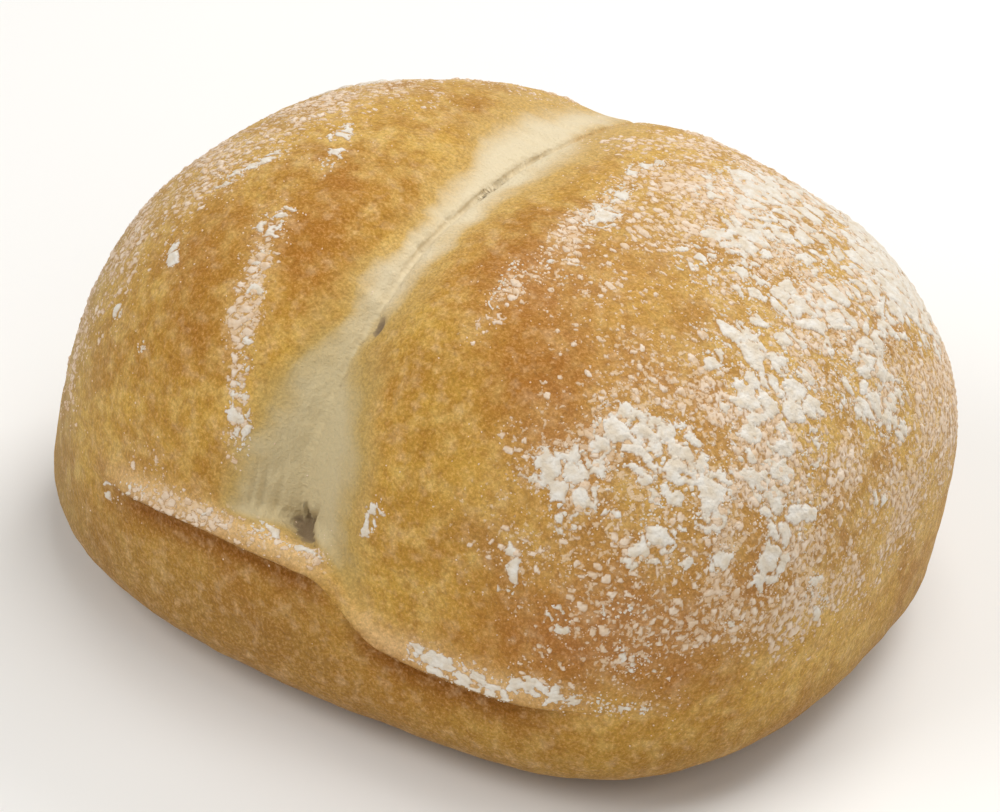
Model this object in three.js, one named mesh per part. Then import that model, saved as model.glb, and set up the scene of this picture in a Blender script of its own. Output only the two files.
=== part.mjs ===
// A crusty wheat bread roll, pressed across its middle before it was baked, so that it
// rises as two lobes with a crease between them. At each end of the crease the crust
// folds out in a lip over the skirt of the loaf. The roll is one solid.
//
// Lengths are millimetres and angles degrees. +Z is up, the roll stands on Z = 0, the
// crease runs along Y, the small lobe lies to -X and the large lobe to +X.

import * as THREE from 'three';

// Plan, as reaches from the middle of the crease.
const SMALL_LOBE_REACH = 52.9;
const LARGE_LOBE_REACH = 62.6;
const FRONT_REACH = 52;
const BACK_REACH = 47.3;
const PLAN_POWER = 2.4; // 2 gives ellipses, more gives squarer corners
const PLAN_WAVES = [
  { turns: 2, share: 0.033, phase: 30 },
  { turns: 3, share: 0.054, phase: 203 },
];
const LARGE_LOBE_SWELL = { share: -0.054, at: 19, width: 19 };
const CREASE_BOW = { depth: 0.95, length: 15.5 };

// Upright profile.
const DOME_HEIGHT = 63;
const BELLY_HEIGHT = 12.6; // where the roll is widest
const DOME_POWER = 2.84;
const BELLY_POWER = 3.13;
const BELLY_SHARE_KEPT = 1.12; // depth of the belly's curve over the height it fills
const LEAN = 0.13; // how far the crust leans to +X for each millimetre above the belly
const TILT = -0.042; // how far the top drops for each millimetre to +X

// Crease: a soft valley with a narrow slit in it and a small pit at each end.
const HEART_HEIGHT = 21.2; // the crust is pushed in and out along lines from this height
const CREASE_ACROSS = -0.7;
const CREASE_BEND = { by: -4.4, from: 22 }; // the crease turns aside towards its front end
const VALLEY_LEFT = { width: 11, narrowing: 0.5 };
const VALLEY_RIGHT = { width: 7.6, narrowing: 0.15 };
const VALLEY_DEPTH = 3.4;
const VALLEY_FRONT_DEPTH = 4.7;
const VALLEY_BACK_SHARE = 0.5; // depth left at the back end
const VALLEY_OVER_STEP = [2, 6]; // the valley deepens over these heights behind the lip
const SLIT_DEPTH = 2.4;
const SLIT_WIDTH = 1.1;
const SLIT_END_SHARE = 0.6;
const SLIT_BACK_BEND = { by: 4.2, from: 5, share: 0.65 };
const PIT = { depth: 4.4, dip: 50, height: 4.2, tall: 1.3, across: -0.2, wide: 1.9 };

// Lip: the fold of crust that closes each end of the crease.
const LIP_HEIGHT = 26.2;
const LIP_LEFT_FALL = { from: -12, drop: 20.6, width: 51 };
const LIP_RIGHT_FALL = { from: 1, drop: 7.6, width: 9 };
const LIP_OVER_BELLY = 4; // the line of the step never sinks nearer the belly than this
const LIP_FROM = -37;
const LIP_TO = 46.3;
const LIP_LEFT_FADE = 10;
const LIP_RIGHT_FADE = 16;
const LIP_GAP = { at: 7, width: 3.5, share: 0.6 }; // where the fold of one lobe meets the other's
const LIP_OUT = 1.4;
const LIP_TALL = 2.8;
const LIP_EDGE = 0.5; // half the height of the step under the lip
const GROOVE_IN = 1.5;
const GROOVE_TALL = 3.4;
const BACK_LIP_SHARE = 0.65;

// Gentle unevenness of a hand-made loaf.
const UNEVEN = { depth: 0.11, lengths: [71, 53, 39, 28], heading: 137.5 };

// Mesh.
const COLUMNS = 128;
const CROWDING = 0.64; // how much closer the columns stand beside the crease
const TOP_CROWDING = 0.6; // and the rings near the top
const SKIRT_RINGS = 8;
const STEP_RINGS = 3;
const LIP_RINGS = 6;
const LIP_RINGS_TO = 7.5; // height over the step that these reach
const DOME_RINGS = 23;

const CRUST = { color: 0xb98a3f, roughness: 0.72, metalness: 0 };

const { abs, atan2, cos, exp, max, sign, sin, PI } = Math;
const radians = THREE.MathUtils.degToRad;
const smooth = (low, high, value) => THREE.MathUtils.smoothstep(value, low, high);
const bell = (value, width) => exp(-((value / width) ** 2));

/** Polar radius of the superellipse |x|^power + |y|^power = 1. */
function superRadius(angle, power) {
  return (abs(cos(angle)) ** power + abs(sin(angle)) ** power) ** (-1 / power);
}

/** Polar angle at which that superellipse has the given height, from 0 to 1. */
function superAngle(height, power) {
  return atan2(height, (1 - height ** power) ** (1 / power));
}

/** Height of the step under the lip at an azimuth round the crease's middle. */
function lipHeight(azimuth) {
  const place = lipPlace(azimuth);
  const drop = (fall, beyond) => fall.drop * (1 - bell(max(beyond, 0), fall.width));
  const left = drop(LIP_LEFT_FALL, LIP_LEFT_FALL.from - place);
  const right = drop(LIP_RIGHT_FALL, place - LIP_RIGHT_FALL.from);
  return max(LIP_HEIGHT - left - right, BELLY_HEIGHT + LIP_OVER_BELLY);
}

/** Where an azimuth's meridian stands along the lip, as a distance from the crease. */
function lipPlace(azimuth) {
  return cos(azimuth) * (cos(azimuth) < 0 ? SMALL_LOBE_REACH : LARGE_LOBE_REACH);
}

/** The plain loaf without crease or lip, as an offset from the crease's middle. */
function loafPoint(azimuth, elevation) {
  const dome = elevation >= 0;
  const radius = superRadius(elevation, dome ? DOME_POWER : BELLY_POWER);
  const rise = dome ? DOME_HEIGHT - BELLY_HEIGHT : BELLY_HEIGHT * BELLY_SHARE_KEPT;
  const height = BELLY_HEIGHT + rise * radius * sin(elevation);
  const leaning = LEAN * (height - BELLY_HEIGHT);
  const [c, s] = [cos(azimuth), sin(azimuth)];
  const across = c < 0 ? SMALL_LOBE_REACH - leaning : LARGE_LOBE_REACH + leaning;
  const along = s < 0 ? FRONT_REACH : BACK_REACH;
  const powerSum = abs(c / across) ** PLAN_POWER + abs(s / along) ** PLAN_POWER;
  const waves = PLAN_WAVES.reduce(
    (sum, wave) => sum + wave.share * cos(wave.turns * azimuth - radians(wave.phase)),
    1,
  );
  const reach = radius * cos(elevation) * waves * powerSum ** (-1 / PLAN_POWER);
  const x = reach * c;
  const swell = 1 + LARGE_LOBE_SWELL.share * bell(x - LARGE_LOBE_SWELL.at, LARGE_LOBE_SWELL.width);
  const y = reach * s * swell;
  const z = height + TILT * x * smooth(BELLY_HEIGHT, DOME_HEIGHT, height);
  return new THREE.Vector3(x, y, z);
}

/** Distance of a point of the plain loaf from the line of the crease. */
function offCrease(point) {
  const forward = (-point.y - CREASE_BEND.from) / (FRONT_REACH - CREASE_BEND.from);
  return point.x - CREASE_ACROSS - CREASE_BEND.by * THREE.MathUtils.clamp(forward, 0, 1) ** 2;
}

/** Share of the way from the crease's middle to its end. */
function towardsEnd(point) {
  return abs(point.y) / (point.y < 0 ? FRONT_REACH : BACK_REACH);
}

/** How deep the crease is at a point of the loaf, given the point's height over the step. */
function creaseDepth(point, overStep) {
  const off = offCrease(point);
  const side = off < 0 ? VALLEY_LEFT : VALLEY_RIGHT;
  const width = side.width * (1 - side.narrowing * smooth(0.5, 0.95, towardsEnd(point)));
  const backwards = smooth(0.2, 0.85, point.y / BACK_REACH);
  const forwards = smooth(0.25, 0.8, -point.y / FRONT_REACH);
  const valley = VALLEY_DEPTH * (1 - (1 - VALLEY_BACK_SHARE) * backwards)
    + (VALLEY_FRONT_DEPTH - VALLEY_DEPTH) * forwards;
  const slit = SLIT_DEPTH * (1 - (1 - SLIT_END_SHARE) * smooth(0.45, 0.85, towardsEnd(point)));
  const bend = SLIT_BACK_BEND.by
    * smooth(SLIT_BACK_BEND.from, SLIT_BACK_BEND.share * BACK_REACH, point.y);
  return smooth(...VALLEY_OVER_STEP, overStep)
    * (valley * bell(off, width) + slit * exp(-abs(off - bend) / SLIT_WIDTH));
}

/** How the pit at each end of the crease moves a point: inwards and down. */
function pitPush(point, overStep) {
  const depth = PIT.depth * bell(overStep - PIT.height, PIT.tall)
    * bell(offCrease(point) - PIT.across, PIT.wide) * smooth(0.5, 0.8, towardsEnd(point));
  const dip = radians(PIT.dip);
  return new THREE.Vector3(0, -sign(point.y) * cos(dip), -sin(dip)).multiplyScalar(depth);
}

/** How far the lip stands out, or the groove under it goes in where that is below zero. */
function lipRelief(azimuth, overStep) {
  const place = lipPlace(azimuth);
  const window = smooth(LIP_FROM, LIP_FROM + LIP_LEFT_FADE, place)
    * (1 - smooth(LIP_TO - LIP_RIGHT_FADE, LIP_TO, place))
    * (1 - LIP_GAP.share * bell(place - LIP_GAP.at, LIP_GAP.width));
  const share = sin(azimuth) < 0 ? 1 : BACK_LIP_SHARE;
  const above = smooth(-LIP_EDGE, LIP_EDGE, overStep);
  const lip = LIP_OUT * above * exp(-max(overStep, 0) / LIP_TALL);
  const groove = GROOVE_IN * (1 - above) * exp(-max(-overStep, 0) / GROOVE_TALL);
  return window * share * (lip - groove);
}

/** Slow waves over the whole crust, which die out towards the flat base. */
function unevenness(point) {
  const sum = UNEVEN.lengths.reduce((total, length, i) => {
    const heading = radians(UNEVEN.heading * (i + 1));
    const travel = point.x * cos(heading) + point.y * sin(heading) + point.z * 0.8;
    return total + sin(2 * PI * travel / length + i);
  }, 0);
  return UNEVEN.depth * sum * smooth(2, 20, point.z);
}

/** A point of the finished crust. */
function crustPoint(azimuth, elevation) {
  const point = loafPoint(azimuth, elevation);
  const overStep = point.z - lipHeight(azimuth);
  const heart = new THREE.Vector3(0, 0, HEART_HEIGHT);
  const outward = point.clone().sub(heart).normalize();
  const push = lipRelief(azimuth, overStep) - creaseDepth(point, overStep)
    + unevenness(point);
  point.add(pitPush(point, overStep)).addScaledVector(outward, push);
  point.x += CREASE_BOW.depth * sin(point.y / CREASE_BOW.length);
  point.z = max(point.z, 0);
  return point;
}

/** Azimuth of a column. The columns crowd together at both ends of the crease. */
function columnAzimuth(column) {
  const even = 2 * PI * column / COLUMNS;
  return even + CROWDING / 2 * sin(2 * even);
}

/** Elevations of one column's rings, from the floor by way of the lip's step to the top. */
function ringElevations(azimuth) {
  const dome = DOME_HEIGHT - BELLY_HEIGHT;
  const level = (height) => superAngle((height - BELLY_HEIGHT) / dome, DOME_POWER);
  const floor = -superAngle(1 / BELLY_SHARE_KEPT, BELLY_POWER);
  const under = level(lipHeight(azimuth) - LIP_EDGE);
  const over = level(lipHeight(azimuth) + LIP_EDGE);
  const behind = level(lipHeight(azimuth) + LIP_RINGS_TO);
  const stretch = (from, to, count, crowding = 0) =>
    Array.from({ length: count }, (_, i) => {
      const share = i / count;
      return from + (to - from) * share * (1 + crowding * (1 - share));
    });
  return [
    ...stretch(floor, under, SKIRT_RINGS),
    ...stretch(under, over, STEP_RINGS),
    ...stretch(over, behind, LIP_RINGS),
    ...stretch(behind, PI / 2, DOME_RINGS, TOP_CROWDING),
  ];
}

/** The crust as one closed mesh: rings of columns, a point on top and a flat base. */
function rollGeometry() {
  const points = [];
  for (let column = 0; column < COLUMNS; column++) {
    const azimuth = columnAzimuth(column);
    for (const elevation of ringElevations(azimuth)) {
      points.push(crustPoint(azimuth, elevation));
    }
  }
  const rings = points.length / COLUMNS;
  const top = points.push(crustPoint(0, PI / 2)) - 1;
  const base = points.push(new THREE.Vector3()) - 1;
  const at = (column, ring) => (column % COLUMNS) * rings + ring;
  const triangles = [];
  for (let column = 0; column < COLUMNS; column++) {
    for (let ring = 0; ring + 1 < rings; ring++) {
      const [a, b] = [at(column, ring), at(column + 1, ring)];
      triangles.push(a, b, b + 1, a, b + 1, a + 1);
    }
    triangles.push(at(column, rings - 1), at(column + 1, rings - 1), top);
    triangles.push(at(column + 1, 0), at(column, 0), base);
  }
  for (let column = 0; column < COLUMNS; column++) points[at(column, 0)].z = 0;

  const geometry = new THREE.BufferGeometry().setFromPoints(points);
  geometry.setIndex(triangles);
  geometry.computeBoundingBox();
  const { min: low, max: high } = geometry.boundingBox;
  geometry.translate(-(low.x + high.x) / 2, -(low.y + high.y) / 2, -low.z);
  geometry.computeVertexNormals();
  return geometry;
}

const roll = new THREE.Mesh(rollGeometry(), new THREE.MeshStandardMaterial(CRUST));
roll.name = 'bread_roll';

const group = new THREE.Group();
group.add(roll);

export default group;
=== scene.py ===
"""A floury bread roll that was pressed across its middle and baked as two lobes.

The roll stands on Z = 0 with its crease along Y, the small lobe to -X and the large
lobe to +X. Shapes are worked out in millimetres and handed to Blender in metres.
"""

import logging
import math
from collections.abc import Mapping, Sequence
from dataclasses import dataclass
from enum import Enum
from itertools import product

import bpy
import numpy as np
from mathutils import Matrix, Vector


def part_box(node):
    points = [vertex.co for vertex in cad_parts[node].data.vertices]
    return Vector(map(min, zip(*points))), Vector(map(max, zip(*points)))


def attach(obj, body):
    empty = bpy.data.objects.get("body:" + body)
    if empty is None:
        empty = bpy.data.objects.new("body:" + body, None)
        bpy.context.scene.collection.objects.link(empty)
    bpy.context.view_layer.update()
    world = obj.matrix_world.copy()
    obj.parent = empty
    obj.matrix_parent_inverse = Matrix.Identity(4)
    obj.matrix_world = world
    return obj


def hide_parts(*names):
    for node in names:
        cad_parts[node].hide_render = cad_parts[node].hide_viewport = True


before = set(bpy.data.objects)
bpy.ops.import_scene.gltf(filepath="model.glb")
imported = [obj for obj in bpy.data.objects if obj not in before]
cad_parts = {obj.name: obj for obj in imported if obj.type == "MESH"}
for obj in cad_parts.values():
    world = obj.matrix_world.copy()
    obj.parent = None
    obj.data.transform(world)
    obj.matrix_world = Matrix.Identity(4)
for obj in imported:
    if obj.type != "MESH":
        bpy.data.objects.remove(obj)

LOG = logging.getLogger("bread_roll")
NODE = "bread_roll"
METRES_PER_MM = 0.001
RANDOM_SEED = 21
MIX_UNDER, MIX_OVER, MIX_RESULT = 6, 7, 2  # colour inputs and output of a mix node
NodeValue = bpy.types.NodeSocket | float | Sequence[float]


class Field(Enum):
    """The values that each point of the crust or the flour carries for its finish."""

    REST = "rest"  # place of the point before fine relief, in millimetres
    DUST = "dust"  # how much thin flour dust lies there, with painted sheen on the lobes' rims
    PALE = "pale"  # how far the crust stayed pale
    SKIRT_SHADE = "skirt"  # painted shade, darker the further down the skirt the point lies
    DEEP_SHADE = "deep"  # painted shade in the slit and the pit, by how far down them the point lies
    GROOVE_SHADE = "scorch"  # painted shade in the groove under the lip
    BROWN = "brown"  # how much browner the rest of the crust baked, with painted shade on the front of the crease's right bank
    RIM_TONE_AND_HIGHLIGHT = "rim"  # how far the lip's face is lighter, partly its own tone and partly a painted highlight where it faces the top light
    RAW = "raw"  # painted shade, greyish olive, in the front of the crease behind the lip and down the small lobe's left side
    THIN = "thin"  # how far the crust shows through the flour, darkened there as painted shade at the lumps' edges


# Small helpers


def smooth(low: float, high: float, value: np.ndarray) -> np.ndarray:
    """Smooth step from 0 at low to 1 at high."""
    share = np.clip((value - low) / (high - low), 0.0, 1.0)
    return share * share * (3.0 - 2.0 * share)


def bell(value: np.ndarray, width: float | np.ndarray) -> np.ndarray:
    """Bell curve of height 1 that falls to 1/e at the given width."""
    return np.exp(-((value / width) ** 2))


def linear_colour(hex_code: str) -> tuple[float, float, float, float]:
    """Turns an sRGB hex colour to linear light.

    Args:
        hex_code: The colour as six hex digits.

    Returns:
        Red, green, blue and an alpha of 1.
    """
    channels = [int(hex_code[i:i + 2], 16) / 255 for i in (0, 2, 4)]
    linear = [c / 12.92 if c <= 0.04045 else ((c + 0.055) / 1.055) ** 2.4 for c in channels]
    return (*linear, 1.0)


def add_node(
    tree: bpy.types.NodeTree,
    kind: str,
    inputs: Mapping[str | int, NodeValue] | None = None,
    **settings: object,
) -> bpy.types.Node:
    """Adds a node with its settings, values and links.

    Args:
        tree: The tree that gets the node.
        kind: The node's type name in Blender.
        inputs: For each input, by name or place, its value or the socket that feeds it.
        settings: The node's own settings.

    Returns:
        The new node.
    """
    node = tree.nodes.new(kind)
    for name, value in settings.items():
        setattr(node, name, value)
    for key, value in (inputs or {}).items():
        if isinstance(value, bpy.types.NodeSocket):
            tree.links.new(value, node.inputs[key])
        else:
            node.inputs[key].default_value = value
    return node


@dataclass(frozen=True)
class Chance:
    """Repeatable random values over space, in millimetres."""

    seed: int = 0
    primes: tuple[int, int, int] = (73856093, 19349663, 83492791)
    mix: int = 1274126177
    seed_step: int = 40503
    turn: tuple[tuple[int, int, int], ...] = ((2, 2, 1), (-2, 1, 2), (1, -2, 2))  # in thirds
    octave_shift: float = 17.3  # keeps one layer's cells off the next one's

    def of_cell(self, cell: np.ndarray) -> np.ndarray:
        """Draws one value for each cell.

        Args:
            cell: Whole-numbered cells as rows.

        Returns:
            Values from 0 to 1.
        """
        mixed = cell.astype(np.int64) @ np.array(self.primes) + self.seed * self.seed_step
        mixed = (mixed ^ (mixed >> 13)) * self.mix
        mixed = (mixed ^ (mixed >> 15)) * self.mix
        return ((mixed >> 16) & 0xFFFF) / 0xFFFF

    def clouds(self, place: np.ndarray, size: float, octaves: int = 3) -> np.ndarray:
        """Cloudy noise.

        Args:
            place: Points as rows.
            size: Breadth of the largest clouds.
            octaves: How many finer layers are added.

        Returns:
            Values about 0.5, from 0 to 1.
        """
        total, weights = 0.0, 0.0
        turned = place @ (np.array(self.turn) / 3)  # so that no cell lines up with the roll
        for octave in range(octaves):
            grid = turned / size * 2**octave + self.octave_shift * octave
            cell = np.floor(grid)
            share = grid - cell
            share = share * share * (3 - 2 * share)
            layer = 0.0
            for corner in product((0, 1), repeat=3):
                weight = np.prod(np.where(corner, share, 1 - share), axis=-1)
                layer = layer + weight * self.of_cell(cell + corner)
            total = total + layer / 2**octave
            weights += 1 / 2**octave
        return total / weights

    def borders(self, place: np.ndarray, size: float) -> np.ndarray:
        """Distance to the border between cells of random shape.

        Args:
            place: Points as rows.
            size: Breadth of the cells.

        Returns:
            The distance to the nearest border.
        """
        grid = place / size
        nearest = np.full(place.shape[:-1], np.inf)
        second = nearest
        for step in product((-1, 0, 1), repeat=3):
            cell = np.floor(grid) + step
            jitter = [Chance(self.seed + 1 + axis).of_cell(cell) for axis in range(3)]
            away = np.linalg.norm(cell + np.stack(jitter, axis=-1) - grid, axis=-1)
            second = np.minimum(second, np.maximum(away, nearest))
            nearest = np.minimum(nearest, away)
        return size * (second - nearest) / 2


# The form


@dataclass(frozen=True)
class Wave:
    """A slow wave round the roll's outline, as a share of its reach."""

    turns: int
    share: float
    phase: float


@dataclass(frozen=True)
class Plan:
    """The roll's outline from above, in millimetres from the middle of its crease."""

    small_lobe: float = 52.9
    large_lobe: float = 62.6
    front: float = 52.0
    back: float = 47.3
    power: float = 2.4  # of the superellipse
    waves: tuple[Wave, ...] = (Wave(2, 0.033, 30.0), Wave(3, 0.054, 203.0))
    swell_share: float = -0.054  # how much longer along Y it is at swell_at, here shorter
    swell_at: float = 19.0
    swell_width: float = 19.0

    def lip_place(self, azimuth: np.ndarray) -> np.ndarray:
        """Where an azimuth's meridian stands along the lip, from the crease."""
        reach = np.where(np.cos(azimuth) < 0, self.small_lobe, self.large_lobe)
        return np.cos(azimuth) * reach

    def towards_end(self, point: np.ndarray) -> np.ndarray:
        """Share of the way from the crease's middle to its end."""
        y = point[..., 1]
        return np.abs(y) / np.where(y < 0, self.front, self.back)

    def spread(
        self, azimuth: np.ndarray, share: np.ndarray, leaning: np.ndarray,
    ) -> tuple[np.ndarray, np.ndarray]:
        """Spreads points out inside the outline.

        Args:
            azimuth: Direction round the crease's middle, from +X, in radians.
            share: Share of the way out to the outline.
            leaning: How far the outline stands over to +X there.

        Returns:
            X and Y of the points.
        """
        c, s = np.cos(azimuth), np.sin(azimuth)
        across = np.where(c < 0, self.small_lobe - leaning, self.large_lobe + leaning)
        along = np.where(s < 0, self.front, self.back)
        power_sum = np.abs(c / across) ** self.power + np.abs(s / along) ** self.power
        waves = 1 + sum(
            wave.share * np.cos(wave.turns * azimuth - math.radians(wave.phase))
            for wave in self.waves
        )
        reach = share * waves * power_sum ** (-1 / self.power)
        x = reach * c
        return x, reach * s * (1 + self.swell_share * bell(x - self.swell_at, self.swell_width))


@dataclass(frozen=True)
class Crease:
    """The valley pressed across the roll and the slit in it, in millimetres.

    A span is where a smooth change along the crease starts and ends, as shares of the way
    from its middle to its end.
    """

    plan: Plan = Plan()
    across: float = -0.7  # where its line crosses the roll's middle
    front_bend: float = -4.4  # how far its front end bends aside
    front_bend_from: float = 22.0  # distance in front at which that starts
    depth: float = 3.4  # of the valley
    front_depth: float = 4.7  # and of its front end
    front_span: tuple[float, float] = (0.25, 0.8)
    back_share: float = 0.5  # of the depth
    back_span: tuple[float, float] = (0.2, 0.85)
    left_width: float = 11.0  # to where each side of the valley has 1/e of its depth
    right_width: float = 7.6
    left_narrowing: float = 0.5  # how much narrower a side is at the ends, below zero wider
    right_narrowing: float = -0.35
    narrowing_span: tuple[float, float] = (0.5, 0.95)
    over_step: tuple[float, float] = (2.0, 6.0)  # heights over which the crease deepens
    slit_depth: float = 1.2
    slit_end_share: float = 0.8  # of the slit's depth, left at the ends
    slit_end_span: tuple[float, float] = (0.45, 0.85)
    slit_width: float = 0.5
    slit_front_width: float = 2.0
    slit_back_bend: float = 4.2  # how far its back end bends aside
    slit_back_from: float = 5.0
    slit_back_share: float = 0.65  # of the way to the end, where the bend is full

    def off(self, point: np.ndarray) -> np.ndarray:
        """Distance from the line of the crease.

        Args:
            point: Points of the plain loaf.

        Returns:
            The distance, below zero on the small lobe.
        """
        forward = -point[..., 1] - self.front_bend_from
        bend = np.clip(forward / (self.plan.front - self.front_bend_from), 0, 1) ** 2
        return point[..., 0] - self.across - self.front_bend * bend

    def off_slit(self, point: np.ndarray) -> np.ndarray:
        """Distance of points of the plain loaf from the slit."""
        share = smooth(self.slit_back_from, self.slit_back_share * self.plan.back, point[..., 1])
        return self.off(point) - self.slit_back_bend * share

    def depth_at(self, point: np.ndarray, over_step: np.ndarray) -> np.ndarray:
        """How deep the crease is.

        Args:
            point: Points of the plain loaf.
            over_step: Their height over the step under the lip.

        Returns:
            Depth of the valley with the slit in it.
        """
        y = point[..., 1]
        x = self.off(point)
        towards_end = self.plan.towards_end(point)
        narrowing = np.where(x < 0, self.left_narrowing, self.right_narrowing)
        narrowing = 1 - narrowing * smooth(*self.narrowing_span, towards_end)
        width = np.where(x < 0, self.left_width, self.right_width) * narrowing
        backwards = smooth(*self.back_span, y / self.plan.back)
        forwards = smooth(*self.front_span, -y / self.plan.front)
        valley = self.depth * (1 - (1 - self.back_share) * backwards)
        valley = valley + (self.front_depth - self.depth) * forwards
        valley = valley * bell(x, width)
        ending = (1 - self.slit_end_share) * smooth(*self.slit_end_span, towards_end)
        slit = self.slit_depth * (1 - ending)
        slit_width = self.slit_width + (self.slit_front_width - self.slit_width) * forwards
        slit = slit * np.exp(-np.abs(self.off_slit(point)) / slit_width)
        return (valley + slit) * smooth(*self.over_step, over_step)


@dataclass(frozen=True)
class Pit:
    """The torn pit at each end of the crease, behind the lip, in millimetres.

    Its tears run out from its middle, each to a point so far across and so far up.
    """

    crease: Crease = Crease()
    span: tuple[float, float] = (0.5, 0.8)  # shares of the way to the end where it starts
    depth: float = 0.8
    edge: float = 0.5  # share of its depth below which its outline fades
    dip: float = 50.0  # angle in degrees at which it goes in
    height: float = 4.7  # over the step
    tall: float = 1.5
    across: float = 1.8
    wide: float = 2.2
    tears: tuple[tuple[float, float], ...] = ((-3.8, 0.6), (-1.2, 2.6), (1.6, 3.0), (3.6, -0.9))
    tear_depth: float = 1.6
    tear_wide: float = 0.55
    tear_taper: float = 1.4  # width over tear_wide at a tear's root, and 1 less at its tip
    tear_fade: float = 0.6  # how much shallower a tear is at its tip
    tear_edge: tuple[float, float] = (0.1, 0.7)  # levels of its bell curve at its foot and floor

    def push(self, point: np.ndarray, over_step: np.ndarray) -> np.ndarray:
        """How far the pit moves points.

        Args:
            point: Points of the plain loaf.
            over_step: Their height over the step under the lip.

        Returns:
            The moves, inwards and down, as rows.
        """
        up = over_step - self.height
        across = self.crease.off(point) - self.across
        depth = self.depth * bell(up, self.tall) * bell(across, self.wide)
        depth = depth * smooth(0.0, self.edge, depth / self.depth)
        torn = np.zeros_like(depth)
        for run, climb in self.tears:
            reach = math.hypot(run, climb)
            share = np.clip((across * run + up * climb) / reach**2, 0, 1)
            away = np.hypot(across - share * run, up - share * climb)
            tear = bell(away, self.tear_wide * (self.tear_taper - share))
            torn = np.maximum(torn, tear * (1 - self.tear_fade * share))
        depth = depth + self.tear_depth * smooth(*self.tear_edge, torn)
        depth = depth * smooth(*self.span, self.crease.plan.towards_end(point))
        dip = math.radians(self.dip)
        inwards = -np.sign(point[..., 1]) * math.cos(dip) * depth
        return np.stack([np.zeros_like(depth), inwards, -math.sin(dip) * depth], axis=-1)


@dataclass(frozen=True)
class Lip:
    """The folded lip round both ends of the crease and the groove under it, in millimetres.

    Places along it are measured from the crease, below zero on the small lobe.
    """

    plan: Plan = Plan()
    step_height: float = 26.2  # of the step under it, where that is highest
    left_from: float = -12.0  # the step falls from here on the left
    left_drop: float = 20.6
    left_width: float = 51.0
    right_from: float = 1.0
    right_drop: float = 7.6
    right_width: float = 9.0
    over_belly: float = 4.0  # the step never sinks nearer the belly than this
    starts: float = -37.0
    left_fade: float = 10.0
    ends: float = 46.3
    right_fade: float = 16.0
    gap_at: float = 7.0  # where the fold of one lobe meets the other's
    gap_width: float = 4.2
    gap_share: float = 0.75  # of the relief that is lost there
    out: float = 1.4  # how far the lip stands out
    tall: float = 2.8  # height over which it falls to 1/e
    edge: float = 0.4  # half the height of the step
    groove_in: float = 1.5  # depth of the groove
    groove_tall: float = 3.4  # height over which that falls to 1/e
    back_share: float = 0.65  # relief at the back end over that in front

    def step(self, azimuth: np.ndarray, belly_height: float) -> np.ndarray:
        """Height of the step under the lip.

        Args:
            azimuth: Direction round the crease's middle, from +X, in radians.
            belly_height: Height of the roll's widest part.

        Returns:
            The height, which falls to both sides of the crease.
        """
        place = self.plan.lip_place(azimuth)
        leftwards = np.maximum(self.left_from - place, 0)
        rightwards = np.maximum(place - self.right_from, 0)
        left = self.left_drop * (1 - bell(leftwards, self.left_width))
        right = self.right_drop * (1 - bell(rightwards, self.right_width))
        return np.maximum(self.step_height - left - right, belly_height + self.over_belly)

    def window(self, azimuth: np.ndarray) -> np.ndarray:
        """How much of a lip there is.

        Args:
            azimuth: Direction round the crease's middle, from +X, in radians.

        Returns:
            Share of the lip's full relief.
        """
        place = self.plan.lip_place(azimuth)
        rising = smooth(self.starts, self.starts + self.left_fade, place)
        falling = 1 - smooth(self.ends - self.right_fade, self.ends, place)
        gap = 1 - self.gap_share * bell(place - self.gap_at, self.gap_width)
        return rising * falling * gap * np.where(np.sin(azimuth) < 0, 1, self.back_share)

    def relief(self, over_step: np.ndarray) -> np.ndarray:
        """Section through the full lip and the groove under it.

        Args:
            over_step: Height over the step under the lip.

        Returns:
            How far the lip stands out, below zero in the groove.
        """
        above = smooth(-self.edge, self.edge, over_step)
        lip = self.out * above * np.exp(-np.maximum(over_step, 0) / self.tall)
        fading = np.exp(-np.maximum(-over_step, 0) / self.groove_tall)
        return lip - self.groove_in * (1 - above) * fading


@dataclass
class CrustPoints:
    """Points of the crust with what is known of each of them."""

    place: np.ndarray  # (points, 3)
    off_crease: np.ndarray  # distance from the crease, below zero on the small lobe
    off_slit: np.ndarray  # and from the slit in it
    along: np.ndarray  # distance along the crease, below zero in front
    over_step: np.ndarray  # height over the step under the lip
    pit: np.ndarray  # how far the pit pushed the point
    lip: np.ndarray  # share of the lip's full relief there


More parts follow.
